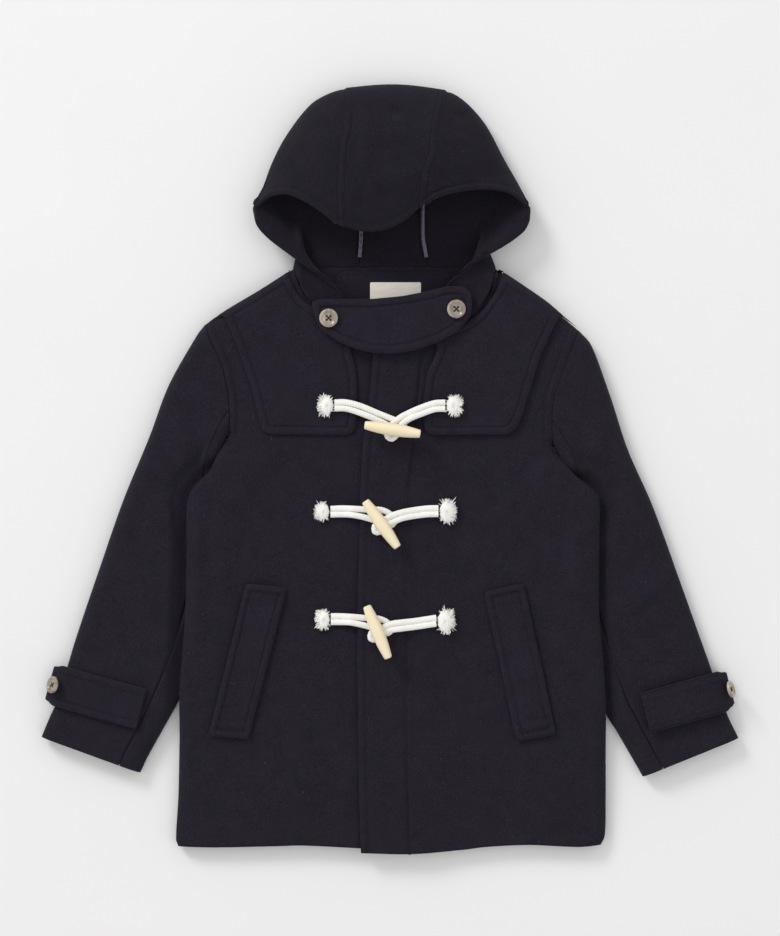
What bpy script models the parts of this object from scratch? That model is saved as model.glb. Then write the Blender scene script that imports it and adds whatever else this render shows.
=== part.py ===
"""A hooded duffle coat of heavy melton wool, laid flat on its back, buttoned and toggled.

Frame: origin under the middle of the coat at the surface it lies on, +X toward the
wearer's left, +Y toward the hood, +Z up off the surface.  Lengths in the tables are in
millimetres and become metres as the meshes are made.
"""

import math

import bmesh
import bpy
import numpy as np
from mathutils import Vector

# ------------------------------------------------------------------ driving dimensions, mm
CLOTH = 2.6            # melton wool
SEAM_GAP = 0.5         # between pieces sewn edge to edge
LAY_GAP = 0.4          # between a panel and what lies on it
FOLD_RADIUS = 14.0     # how far a folded edge rounds over
BODY_HEIGHT = 17.0     # top of the fronts above the surface
HEM_DROP = 4.5         # how much lower the fronts lie at the hem
SHOULDER_MID = 7.0     # height of the shoulder seam
SIDE_MID = 6.0         # height of the side seam above the back
SLEEVE_LIFT = 9.3      # the body's sides lie this high, over the sleeves
SLEEVE_TUCK = 34.0     # how far a sleeve goes under the body's side
SLEEVE_HEIGHT = 18.0
CUFF_HEIGHT = 15.0
YOKE_LIFT = CLOTH + LAY_GAP
PLACKET_LAP = 53.0     # how far the fronts lap
WELT = 3.6             # pocket welts, strap and tab are two layers, pressed
STRAP = 3.2
TAB = 3.6
CORD_WIDTH = 5.8
CORD_FLAT = 0.7        # a cord's height over its width
TOGGLE_LENGTH = 59.0
TOGGLE_MIDDLE = 12.0
TOGGLE_END = 7.4
BUTTON = 19.5          # throat buttons
CUFF_BUTTON = 18.0

# ------------------------------------------------------------------ outlines, mm (x, y)
# wearer's right is -X and wearer's left is +X
ARMHOLE = {
    "right": [(-193.2, 151.2), (-190.1, 138.6), (-181.7, 120.8), (-174.3, 100.8), (-169.1, 71.4), (-169.1, 35.7)],
    "left": [(197.4, 144.9), (193.2, 134.4), (181.7, 102.9), (172.2, 75.6), (169.6, 50.4), (171.2, 24.2)],
}
SIDE = {
    "right": [(-169.1, 35.7), (-177.5, 23.1), (-189.0, -2.1), (-202.7, -15.8), (-210.0, -27.3), (-213.2, -44.1),
              (-213.2, -96.6), (-214.7, -150.2), (-217.4, -191.1), (-220.5, -231.0), (-221.3, -285.6),
              (-222.6, -346.5), (-225.0, -390.0), (-222.6, -397.5)],
    "left": [(171.2, 24.2), (177.3, 13.8), (194.2, -7.4), (210.0, -19.9), (219.0, -31.4), (219.5, -59.9),
             (219.2, -107.1), (219.5, -156.5), (223.7, -203.7), (226.6, -257.2), (226.8, -306.6),
             (226.8, -348.6), (225.8, -386.4), (221.6, -396.0)],
}
SHOULDER = {
    "right": [(-101.9, 209.0), (-136.5, 186.9), (-163.8, 170.6), (-176.2, 162.8), (-193.2, 151.2)],
    "left": [(111.3, 209.0), (136.5, 192.6), (163.8, 173.6), (177.5, 161.8), (197.4, 144.9)],
}
# neckline of the fronts, from the shoulder to the throat, where the hood ends, and on to the front edge
NECKLINE = {
    "right": [(-101.9, 209.0), (-96.5, 195.0), (-91.4, 183.5), (-81.9, 174.0), (-63.0, 163.0), (-42.0, 155.0)],
    "left": [(111.3, 209.0), (109.6, 196.0), (101.0, 178.5), (87.2, 162.0), (70.0, 153.5), (50.0, 149.0)],
}
NECK_ON = {"right": [(-42.0, 155.0), (-12.0, 146.0), (23.0, 141.0)],
           "left": [(50.0, 149.0), (18.0, 143.0), (-16.8, 139.0)]}
FRONT_EDGE = {"right": [(23.0, 141.0), (22.0, 0.0), (21.5, -200.0), (22.0, -401.0)],
              "left": [(-16.8, 139.0), (-19.5, 96.0), (-24.5, 52.0), (-29.5, 10.0), (-32.2, -80.0), (-34.2, -180.6),
                       (-33.6, -250.0), (-32.6, -330.0), (-30.5, -404.0)]}
HEM = {"right": [(-222.6, -397.5), (-182.7, -398.4), (-116.6, -397.0), (-91.4, -396.4), (-30.5, -399.3), (22.0, -401.0)],
       "left": [(221.6, -396.0), (198.5, -397.9), (172.2, -396.9), (144.9, -395.8), (100.8, -397.9), (74.5, -401.1),
                (22.1, -405.0), (-30.5, -404.0)]}
BACK_NECK_Y = 211.0
BACK_HEM_Y = -394.0
BACK_YOKE_Y = 62.0     # lower edge of the back half of the yoke

# ------------------------------------------------------------------ sleeves, mm
SLEEVE_OUTER = {
    "right": [(-193.2, 151.2), (-201.6, 140.7), (-232.1, 88.2), (-253.1, 32.6), (-280.4, -33.6), (-302.4, -96.6),
              (-330.8, -180.6), (-349.7, -243.6), (-358.1, -262.5), (-366.4, -282.4)],
    "left": [(197.4, 144.9), (211.1, 129.2), (231.0, 77.7), (249.9, 19.9), (276.2, -39.9), (304.5, -117.6),
             (322.4, -168.0), (338.1, -212.1), (348.6, -243.6), (357.0, -264.6), (366.4, -283.5)],
}
SLEEVE_INNER = {
    "right": [(-169.1, 35.7), (-176.6, 27.5), (-182.6, 18.9), (-188.6, 6.0), (-191.0, -6.0), (-188.0, -30.0),
              (-183.5, -75.6), (-186.8, -117.6), (-193.6, -159.6), (-204.7, -201.6), (-220.5, -241.0),
              (-241.5, -279.8), (-255.2, -304.5), (-262.5, -320.2)],
    "left": [(171.2, 24.2), (178.2, 16.5), (185.4, 7.5), (192.2, -3.0), (196.4, -14.0), (192.5, -40.0),
             (189.0, -80.9), (191.6, -122.9), (199.0, -164.8), (211.0, -212.1), (226.8, -257.8), (237.3, -275.1),
             (256.2, -307.7), (265.7, -324.4)],
}
SEAM_ON_TOP = 0.79     # where the sleeve's back seam lies, as a share of its width from the outer edge
SEAM_BELOW = 0.55

# ------------------------------------------------------------------ hood, mm (x, y, z)
HOOD_SEAM_UNDER = {"right": [(-32.6, 211.5, 3.0), (-31.6, 226.0, 1.2), (-30.4, 245.0, 0), (-31.0, 302.4, 0), (-35.5, 350.0, 0),
                             (-38.2, 385.0, 0.6), (-39.6, 396.0, 3.6), (-39.9, 400.0, 11.0)],
                   "left": [(39.9, 211.5, 3.0), (37.6, 226.0, 1.2), (34.6, 245.0, 0), (36.0, 310.0, 0), (42.5, 350.0, 0),
                            (49.6, 383.0, 0.6), (52.0, 394.0, 3.6), (52.5, 398.0, 11.0)]}
HOOD_SEAM_OVER = {"right": [(-39.9, 400.0, 11.0), (-39.7, 398.0, 18.0), (-39.3, 391.0, 26.5), (-38.9, 376.0, 36.0), (-39.6, 354.0, 45.0),
                            (-44.4, 331.8, 51.0), (-46.2, 287.7, 56.0), (-45.1, 248.9, 53.0)],
                  "left": [(52.5, 398.0, 11.0), (52.2, 396.0, 18.0), (50.9, 388.5, 26.5), (47.6, 374.0, 36.0), (43.1, 354.0, 45.0),
                           (40.5, 325.3, 52.0), (32.8, 304.0, 56.0), (29.4, 268.8, 54.0)]}
HOOD_FOLD = {"right": [(-39.9, 400.0, 11.0), (-63.0, 393.8, 11.0), (-84.0, 381.2, 11.0), (-109.2, 348.6, 12.0), (-123.9, 320.2, 13.0),
                       (-134.4, 291.9, 15.0), (-141.6, 277.2, 18.5), (-143.3, 268.8, 21.0)],
             "left": [(52.5, 398.0, 11.0), (69.3, 391.7, 11.0), (86.1, 378.0, 11.0), (101.9, 358.1, 12.0), (119.7, 324.4, 13.0),
                      (134.4, 298.2, 15.0), (144.2, 278.4, 18.5), (147.0, 267.8, 21.0)]}
HOOD_BRIM = {"right": [(-143.3, 268.8, 21.0), (-134.4, 277.2, 27.0), (-123.9, 283.5, 33.0), (-108.2, 284.5, 41.0), (-90.3, 277.2, 47.0),
                       (-72.5, 265.7, 51.0), (-57.8, 254.1, 53.0), (-52.5, 251.2, 53.2)],
             "left": [(147.0, 267.8, 21.0), (137.6, 278.2, 27.0), (123.9, 286.7, 33.0), (101.9, 289.8, 40.0), (79.8, 287.7, 45.0),
                      (59.9, 283.5, 50.0), (42.0, 276.2, 53.4), (36.0, 273.0, 54.0)]}
HOOD_CENTRE_BRIM = [(-45.1, 248.9, 53.0), (-26.2, 244.7, 53.6), (-4.2, 246.8, 54.4), (13.7, 255.2, 54.6), (29.4, 268.8, 54.0)]
HOOD_LIP = {"right": [(-42.0, 155.0, 17.5), (-46.0, 172.0, 20.5), (-49.5, 182.5, 22.5), (-62.0, 192.2, 24.0), (-79.8, 204.8, 25.5), (-104.0, 222.1, 26.0),
                      (-128.1, 240.5, 25.0), (-139.7, 254.1, 23.0), (-143.3, 268.8, 21.0)],
            "left": [(50.0, 149.0, 17.5), (54.0, 172.0, 20.5), (57.7, 190.0, 22.5), (70.4, 200.6, 24.0), (92.4, 216.3, 25.5), (119.7, 232.1, 26.0),
                     (139.7, 246.8, 25.0), (146.0, 258.3, 23.0), (147.0, 267.8, 21.0)]}

# ------------------------------------------------------------------ what lies on the panels, mm
YOKE = {
    "right": [(-30.0, 240.0), (-30.0, 137.0), (-41.0, 122.9), (-36.8, 109.2), (-34.6, 92.4), (-34.6, 71.4), (-35.2, 50.0),
              (-37.0, 38.5), (-44.1, 34.6), (-126.0, 35.2), (-132.8, 38.0), (-135.5, 46.2), (-143.8, 79.8), (-153.3, 109.2),
              (-171.2, 156.5), (-182.0, 180.0), (-110.0, 240.0)],
    "left": [(40.0, 240.0), (40.0, 140.0), (49.4, 127.1), (46.2, 115.5), (37.8, 97.7), (34.9, 71.4), (34.9, 48.0),
             (37.0, 38.5), (43.1, 34.6), (123.0, 35.0), (131.0, 39.5), (138.6, 54.6), (146.0, 79.8), (157.5, 116.6),
             (172.2, 149.1), (186.0, 178.0), (120.0, 240.0)],
}
WELT_CORNERS = {"right": [(-151.2, -120.8), (-107.5, -125.4), (-148.1, -284.1), (-190.1, -280.0)],
                "left": [(98.7, -129.2), (140.2, -120.8), (174.3, -278.8), (132.8, -286.7)]}
TAB_OUTLINE = [(-81.9, 172.3), (-78.0, 175.2), (-71.4, 176.4), (-54.6, 176.8), (-21.0, 176.4), (12.6, 179.6), (39.9, 184.8),
               (59.9, 190.1), (75.6, 190.1), (84.0, 183.8), (86.1, 171.2), (84.0, 158.6), (72.5, 143.8), (52.5, 132.3),
               (26.2, 122.9), (6.3, 119.7), (-14.7, 119.7), (-34.6, 123.9), (-54.6, 132.3), (-71.4, 143.8), (-78.8, 158.6)]
THROAT_BUTTONS = {"right": (-64.0, 156.5), "left": (69.3, 165.9)}
STRAP_ENDS = {  # along the middle of each strap, from the seam to its free end, with its width
    "right": {"seam": (-260.4, -252.6), "free": (-357.8, -225.8), "width": 43.5},
    "left": {"seam": (267.4, -256.4), "free": (354.6, -232.4), "width": 43.5},
}
CUFF_BUTTONS = {"right": (-350.0, -227.6), "left": (349.4, -233.4)}
LABEL = {"x": (-21.0, 32.6), "y": (158.0, 195.3)}
FACING = {"x": (-56.0, 64.0), "y": (132.0, 206.8)}

# toggles: middle, and the angle of the long axis from +X in degrees
TOGGLES = {"top": {"at": (2.6, 40.1), "turn": -9.0, "lift": 14.6},
           "middle": {"at": (-8.9, -58.5), "turn": -54.9, "lift": 14.6},
           "bottom": {"at": (-12.9, -170.9), "turn": -67.5, "lift": 14.6}}
# each cord loop runs from its sewn end along one strand, round its eye and back; (x, y, level), level 0 on the panel, 1 over a cord
CORDS = {
    "top_right": [(-58.2, 68.6, 0), (-47.0, 68.8, 0), (-32.0, 65.2, 0), (-12.0, 57.0, 0), (4.0, 50.6, 0), (13.5, 46.5, 0), (15.2, 42.0, 0),
                  (10.5, 39.6, 0), (0.5, 43.6, 0), (-14.0, 50.6, 0), (-34.0, 58.6, 0), (-47.0, 62.2, 0), (-58.2, 62.2, 0)],
    "top_left": [(57.6, 68.4, 0), (47.0, 67.8, 0), (34.0, 63.6, 0.2), (20.0, 57.6, 0.8), (10.0, 52.2, 1), (0.0, 43.0, 1), (-3.2, 34.4, 0.7),
                 (1.4, 30.6, 0.6), (6.2, 34.0, 0.7), (10.0, 43.0, 1), (19.0, 50.6, 0.95), (34.0, 57.0, 0.2), (47.0, 61.4, 0), (57.6, 61.8, 0)],
    "middle_right": [(-62.4, -42.8, 0), (-50.0, -42.2, 0), (-38.0, -42.6, 0), (-22.0, -43.6, 0), (-10.0, -43.8, 0), (-1.0, -47.4, 0), (4.6, -53.4, 0),
                     (2.4, -59.2, 0), (-5.0, -58.6, 0), (-18.0, -54.2, 0), (-30.0, -50.8, 0), (-42.0, -48.8, 0), (-52.0, -48.6, 0), (-62.4, -48.8, 0)],
    "middle_left": [(50.6, -42.0, 0), (40.0, -42.2, 0), (28.0, -43.6, 0.1), (14.0, -46.0, 0.7), (4.0, -49.0, 1), (-8.0, -55.4, 1), (-15.6, -60.6, 0.9),
                    (-15.6, -66.4, 0.85), (-10.4, -66.6, 0.85), (-4.0, -60.0, 1), (5.0, -55.6, 1), (14.0, -52.2, 0.8), (28.0, -49.8, 0.1), (40.0, -48.4, 0), (50.6, -48.2, 0)],
    "bottom_right": [(-62.0, -155.2, 0), (-50.0, -155.2, 0), (-38.0, -155.8, 0), (-22.0, -157.2, 0), (-12.0, -157.6, 0), (-3.0, -161.6, 0), (1.6, -167.6, 0),
                     (-2.0, -172.6, 0), (-9.0, -171.4, 0), (-21.0, -166.4, 0), (-31.0, -163.6, 0), (-42.0, -161.6, 0), (-52.0, -161.4, 0), (-62.0, -161.4, 0)],
    "bottom_left": [(48.4, -156.6, 0), (38.0, -158.2, 0), (26.0, -160.0, 0.1), (12.0, -161.4, 0.7), (2.0, -162.8, 1), (-11.0, -168.4, 1), (-19.4, -172.6, 0.9),
                    (-20.0, -178.2, 0.85), (-14.6, -179.0, 0.85), (-7.4, -173.2, 1), (2.0, -169.2, 1), (12.0, -167.8, 0.8), (26.0, -166.2, 0.1), (38.0, -164.4, 0), (48.4, -162.8, 0)],
}
# sewn and frayed cord ends: middle and half widths
CORD_ENDS = {"top_right": {"at": (-66.8, 65.4), "half": (8.0, 10.8)}, "top_left": {"at": (66.8, 65.4), "half": (8.4, 10.8)},
             "middle_right": {"at": (-70.6, -45.6), "half": (7.4, 9.6)}, "middle_left": {"at": (59.8, -45.6), "half": (8.4, 12.4)},
             "bottom_right": {"at": (-70.2, -158.6), "half": (7.4, 10.6)}, "bottom_left": {"at": (58.0, -160.2), "half": (8.8, 13.0)}}

# ------------------------------------------------------------------ colours (linear RGB)
COLOURS = {
    "melton": (0.0150, 0.0135, 0.0215, 1.0),
    "satin": (0.045, 0.040, 0.085, 1.0),
    "cord": (0.90, 0.88, 0.83, 1.0),
    "wood": (0.86, 0.68, 0.42, 1.0),
    "horn": (0.085, 0.055, 0.042, 1.0),
    "label": (0.80, 0.77, 0.70, 1.0),
}

for old in list(bpy.data.objects):
    bpy.data.objects.remove(old, do_unlink=True)

COAT = bpy.data.collections.new("duffle_coat")
CUTTERS = bpy.data.collections.new("cutters")
bpy.context.scene.collection.children.link(COAT)
bpy.context.scene.collection.children.link(CUTTERS)


# ------------------------------------------------------------------ curves and patches
def curve(points, dense=24):
    """A smooth curve through the points: f(t) for t in 0..1 by length."""
    p = np.array(points, float)
    chord = np.linalg.norm(np.diff(p, axis=0), axis=1)
    k = np.concatenate([[0], np.cumsum(chord)])
    slope = np.empty_like(p)
    slope[1:-1] = (p[2:] - p[:-2]) / (k[2:] - k[:-2])[:, None]
    slope[0] = (p[1] - p[0]) / chord[0]
    slope[-1] = (p[-1] - p[-2]) / chord[-1]
    out = []
    for i, c in enumerate(chord):
        s = np.linspace(0, 1, dense, endpoint=False)[:, None]
        h00, h10 = 2 * s**3 - 3 * s**2 + 1, s**3 - 2 * s**2 + s
        h01, h11 = -2 * s**3 + 3 * s**2, s**3 - s**2
        out.append(h00 * p[i] + h10 * c * slope[i] + h01 * p[i + 1] + h11 * c * slope[i + 1])
    out = np.concatenate(out + [p[-1:]])
    along = np.concatenate([[0], np.cumsum(np.linalg.norm(np.diff(out, axis=0), axis=1))])
    along /= along[-1]

    def at(t):
        t = np.clip(np.atleast_1d(np.asarray(t, float)), 0, 1)
        return np.stack([np.interp(t, along, out[:, i]) for i in range(out.shape[1])], axis=1)

    return at


def chain(*runs, dense=24):
    """One curve made of smooth runs that meet at corners."""
    parts = [curve(run)(np.linspace(0, 1, dense * len(run))) for run in runs]
    p = np.concatenate([parts[0]] + [q[1:] for q in parts[1:]])
    along = np.concatenate([[0], np.cumsum(np.linalg.norm(np.diff(p, axis=0), axis=1))])
    along /= along[-1]
    return lambda t: np.stack([np.interp(np.clip(np.atleast_1d(t), 0, 1), along, p[:, i]) for i in range(p.shape[1])], axis=1)


def by_y(points):
    """x and y of a curve that runs down the coat, asked for by y."""
    p = curve(points)(np.linspace(0, 1, 400))
    order = np.argsort(p[:, 1])
    return lambda y: np.interp(y, p[order, 1], p[order, 0])


def coons(near, far, first, last, us, vs):
    """A patch between four edges: near(u) at v 0, far(u) at v 1, first(v) at u 0 and last(v) at u 1."""
    n, f, a, b = near(us), far(us), first(vs), last(vs)
    u, v = us[None, :, None], vs[:, None, None]
    corners = ((1 - u) * (1 - v) * n[0] + u * (1 - v) * n[-1] + (1 - u) * v * f[0] + u * v * f[-1])
    return (1 - v) * n[None] + v * f[None] + (1 - u) * a[:, None] + u * b[:, None] - corners


def smooth(a, b, x):
    s = np.clip((np.asarray(x, float) - a) / (b - a), 0, 1)
    return s * s * (3 - 2 * s)


def rounded(d, r=FOLD_RADIUS):
    s = np.clip(np.asarray(d, float) / r, 0, 1)
    return np.sqrt(np.maximum(0, 1 - (1 - s) ** 2))


def distance(points, x, y):
    """The distance from x, y to the curve through the points."""
    p = curve(points)(np.linspace(0, 1, 160))
    q = np.stack([np.ravel(x), np.ravel(y)], axis=1)
    a, d = p[:-1], np.diff(p, axis=0)
    t = np.clip(((q[:, None] - a[None]) * d[None]).sum(2) / (d * d).sum(1)[None], 0, 1)
    near = np.linalg.norm(q[:, None] - (a[None] + t[..., None] * d[None]), axis=2).min(1)
    return near.reshape(np.shape(x))


# ------------------------------------------------------------------ heights of the laid coat
UNDERARM_Y = {"right": 35.7, "left": 24.2}


def lift(side, y):
    """How high the body's side lies over the tucked sleeve."""
    top = UNDERARM_Y[side]
    return SLEEVE_LIFT * smooth(top - 8, top - 31, y) * (1 - smooth(-238, -292, y))


def seam_height(side, x, y):
    near_shoulder = 1 / (1 + distance(SHOULDER[side], x, y)) ** 2
    near_side = 1 / (1 + distance(SIDE[side], x, y)) ** 2
    share = near_side / (near_side + near_shoulder)
    return SHOULDER_MID * (1 - share) + (SIDE_MID + lift(side, y)) * share


def tucked(side, x, y):
    return 1 - smooth(SLEEVE_TUCK, SLEEVE_TUCK + 30, distance(SIDE[side], x, y))


def open_share(side, x, y):
    return rounded(distance(SHOULDER[side], x, y)) * rounded(distance(SIDE[side], x, y))


def front_height(side, x, y):
    """The outer surface of a front."""
    inside = BODY_HEIGHT - HEM_DROP * smooth(-290, -400, y) + 4.0 * tucked(side, x, y) * lift(side, y) / SLEEVE_LIFT
    middle = seam_height(side, x, y)
    z = middle + (inside - middle) * open_share(side, x, y)
    if side == "left":  # the lap lies on the other front
        z = z + (CLOTH + LAY_GAP + 0.4) * (1 - smooth(30, 70, x))
    return z


def back_height(x, y):
    """The outer surface of the back, which faces the ground."""
    z = np.zeros(np.shape(x))
    yoke = YOKE_LIFT * smooth(BACK_YOKE_Y - 26, BACK_YOKE_Y - 12, y)
    for side, sign in (("right", -1), ("left", 1)):
        here = (np.sign(x) == sign) | ((sign == 1) & (np.asarray(x) == 0))
        inside = np.maximum(lift(side, y) * tucked(side, x, y), yoke)
        middle = seam_height(side, x, y)
        z = np.where(here, middle + (inside - middle) * open_share(side, x, y), z)
    return z


# ------------------------------------------------------------------ making objects
def material(name):
    made = bpy.data.materials.get(name)
    if made:
        return made
    made = bpy.data.materials.new(name)
    made.use_nodes = True
    shader = made.node_tree.nodes["Principled BSDF"]
    shader.inputs["Base Color"].default_value = COLOURS[name]
    shader.inputs["Roughness"].default_value = {"melton": 0.92, "satin": 0.35, "cord": 0.85, "wood": 0.45,
                                                "horn": 0.25, "label": 0.6}[name]
    shader.inputs["Metallic"].default_value = 0.0
    return made


def add(name, mesh, finish, collection=COAT):
    made = bpy.data.objects.new(name, mesh)
    collection.objects.link(made)
    if finish:
        mesh.materials.append(material(finish))
    return made


def grid_mesh(name, grid, flip=False):
    """An open sheet over a grid of points in mm; it faces the way that rows cross columns."""
    rows, columns = grid.shape[:2]
    bm = bmesh.new()
    verts = [[bm.verts.new(Vector(grid[i, j]) * 0.001) for j in range(columns)] for i in range(rows)]
    for i in range(rows - 1):
        for j in range(columns - 1):
            corners = [verts[i][j], verts[i][j + 1], verts[i + 1][j + 1], verts[i + 1][j]]
            bm.faces.new(corners[::-1] if flip else corners)
    bm.normal_update()
    mesh = bpy.data.meshes.new(name)
    bm.to_mesh(mesh)
    bm.free()
    for p in mesh.polygons:
        p.use_smooth = True
    return mesh


def sheet(name, grid, finish="melton", thick=CLOTH, flip=False, even=True):
    """A cloth panel: its grid is the outer surface and the cloth is inside it."""
    made = add(name, grid_mesh(name, grid, flip), finish)
    solid = made.modifiers.new("cloth", "SOLIDIFY")
    solid.thickness, solid.offset, solid.use_even_offset = thick * 0.001, -1.0, even
    solid.use_rim = True
    return made


def prism(name, outline, low, high):
    """A cutter: the outline drawn as a flat curve and extruded from low to high."""
    data = bpy.data.curves.new(name, "CURVE")
    data.dimensions, data.fill_mode, data.extrude = "2D", "BOTH", (high - low) * 0.0005
    spline = data.splines.new("POLY")
    spline.points.add(len(outline) - 1)
    for p, (x, y) in zip(spline.points, outline):
        p.co = (x * 0.001, y * 0.001, 0, 1)
    spline.use_cyclic_u = True
    shape = bpy.data.objects.new(name + "_curve", data)
    shape.location.z = (high + low) * 0.0005
    CUTTERS.objects.link(shape)
    bpy.context.view_layer.update()
    mesh = bpy.data.meshes.new_from_object(shape.evaluated_get(bpy.context.evaluated_depsgraph_get()))
    bm = bmesh.new()
    bm.from_mesh(mesh)
    bmesh.ops.remove_doubles(bm, verts=bm.verts, dist=0.00001)
    bmesh.ops.recalc_face_normals(bm, faces=bm.faces)
    bm.to_mesh(mesh)
    bm.free()
    made = bpy.data.objects.new(name, mesh)
    made.matrix_world = shape.matrix_world
    CUTTERS.objects.link(made)
    bpy.data.objects.remove(shape, do_unlink=True)
    made.hide_render, made.display_type = True, "WIRE"
    return made


def overlay(name, grid, outline, thick, flip=False, gap=LAY_GAP, finish="melton"):
    """A piece that lies on a panel: the panel's own points moved out, within the outline."""
    made = add(name, grid_mesh(name, grid, flip), finish)
    out = made.modifiers.new("moved_out", "DISPLACE")
    out.direction, out.mid_level, out.strength = "NORMAL", 0.0, gap * 0.001
    solid = made.modifiers.new("cloth", "SOLIDIFY")
    solid.thickness, solid.offset, solid.use_even_offset = thick * 0.001, 1.0, False
    cut = made.modifiers.new("outline", "BOOLEAN")
    cut.operation, cut.solver = "INTERSECT", "EXACT"
    cut.object = prism(name + "_outline", outline, -20, 90)
    return made


# ------------------------------------------------------------------ body panels
STEPS_DOWN = np.array([0, 0.0007, 0.008, 0.024, 0.055, 0.1, 0.15, 0.205, 0.235, 0.27, 0.31, 0.38, 0.47, 0.57, 0.68, 0.79, 0.9, 1.0])
STEPS_IN = np.array([0, 0.0012, 0.012, 0.03, 0.058, 0.12, 0.22, 0.34, 0.46, 0.58, 0.72, 0.86, 1.0])
UPRIGHT = 1.3          # at a folded edge the cloth first stands upright for this much


def front_grid(side):
    """The grid of a front, from the outer edge in, row by row from the shoulder to the hem."""
    tip, foot = ARMHOLE[side][0], SIDE[side][-1]
    outer_x = by_y(ARMHOLE[side] + SIDE[side][1:])
    inner = curve(FRONT_EDGE[side])
    top = chain(SHOULDER[side][::-1], NECKLINE[side] + NECK_ON[side][1:])
    hem = curve(HEM[side])

    def outer(v):
        y = tip[1] + (foot[1] - tip[1]) * v
        return np.stack([outer_x(y), y], axis=1)

    xy = coons(top, hem, outer, inner, STEPS_IN, STEPS_DOWN)
    z = front_height(side, xy[..., 0], xy[..., 1])
    return stand_up(np.concatenate([xy, z[..., None]], axis=2), side, 1)


def stand_up(grid, side, way, column=0, beside=1):
    """Makes the cloth upright at the side and shoulder seams, which it leaves by half the seam gap."""
    low = grid[:, column, 1] < UNDERARM_Y[side] - 1
    y = grid[:, column, 1]
    steep = smooth(-6, 2, y) * (1 - smooth(24, 34, y))
    tip = 1 - smooth(0, 9, y[0] - y)
    grid[:, column, 2] += way * np.where(low, SEAM_GAP * (0.9 + 1.1 * steep), 0.5 * tip)
    grid[low, beside, :2] = grid[low, column, :2]
    grid[low, beside, 2] = grid[low, column, 2] + way * UPRIGHT
    neck = SHOULDER[side][0][0]
    along = (grid[0, :, 0] < neck + 0.5) if side == "right" else (grid[0, :, 0] > neck - 0.5)
    grid[0, along, 2] += way * SEAM_GAP * 1.4
    along[[column, beside]] = False
    grid[1, along, :2] = grid[0, along, :2]
    grid[1, along, 2] = grid[0, along, 2] + way * UPRIGHT
    return grid


FRONT = {side: front_grid(side) for side in ("right", "left")}
sheet("front_right", FRONT["right"], flip=True)
sheet("front_left", FRONT["left"])


def back_grid():
    """The grid of the back, from the wearer's right to the left."""
    tip = {s: ARMHOLE[s][0] for s in ARMHOLE}
    foot = {s: SIDE[s][-1] for s in SIDE}
    outer_x = {s: by_y(ARMHOLE[s] + SIDE[s][1:]) for s in ARMHOLE}
    top = chain(SHOULDER["right"][::-1], [(-101.9, 209.0), (-88.0, 210.2), (-60.0, BACK_NECK_Y), (4.0, BACK_NECK_Y), (66.0, BACK_NECK_Y),
                                          (95.0, 210.2), (111.3, 209.0)], SHOULDER["left"])
    hem = curve([foot["right"], (-180.0, BACK_HEM_Y), (0.0, BACK_HEM_Y), (180.0, BACK_HEM_Y), foot["left"]])

    def edge(side):
        def at(v):
            y = tip[side][1] + (foot[side][1] - tip[side][1]) * v
            return np.stack([outer_x[side](y), y], axis=1)
        return at

    us = np.array([0, 0.0006, 0.006, 0.016, 0.032, 0.065, 0.1, 0.15, 0.25, 0.38, 0.5, 0.62, 0.75, 0.85, 0.9, 0.935, 0.968, 0.984, 0.994, 0.9994, 1.0])
    xy = coons(top, hem, edge("right"), edge("left"), us, STEPS_DOWN)
    z = back_height(xy[..., 0], xy[..., 1])
    grid = np.concatenate([xy, z[..., None]], axis=2)
    stand_up(grid, "right", -1)
    return stand_up(grid, "left", -1, -1, -2)


BACK = back_grid()
sheet("back", BACK)

# ------------------------------------------------------------------ sleeves
def sleeve_edges(side):
    return curve(SLEEVE_OUTER[side]), curve(SLEEVE_INNER[side]), curve(ARMHOLE[side])


def sleeve_plan(side, t, f):
    """Where a point at share t of the length and f of the width lies."""
    outer, inner, arm = sleeve_edges(side)
    o, i = outer(t), inner(t)
    straight = o + (i - o) * f[:, None]
    o0, i0 = outer(0), inner(0)
    bow = arm(f) - (o0 + (i0 - o0) * f[:, None])
    sign = -1 if side == "right" else 1
    fade = 1 - smooth(0, 0.25, t)
    seam = SEAM_GAP * (1 - smooth(0.02, 0.12, t))
    return straight + bow * fade + np.array([[sign * seam * 1.5, -0.25 * seam]])


def under_body(side, x, y):
    """Signed distance inside the body's side edge."""
    edge = by_y(SIDE[side])
    d = distance(SIDE[side], x, y)
    inside = (x > edge(y)) if side == "right" else (x < edge(y))
    return np.where(inside & (y < UNDERARM_Y[side]), d, -d)


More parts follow.
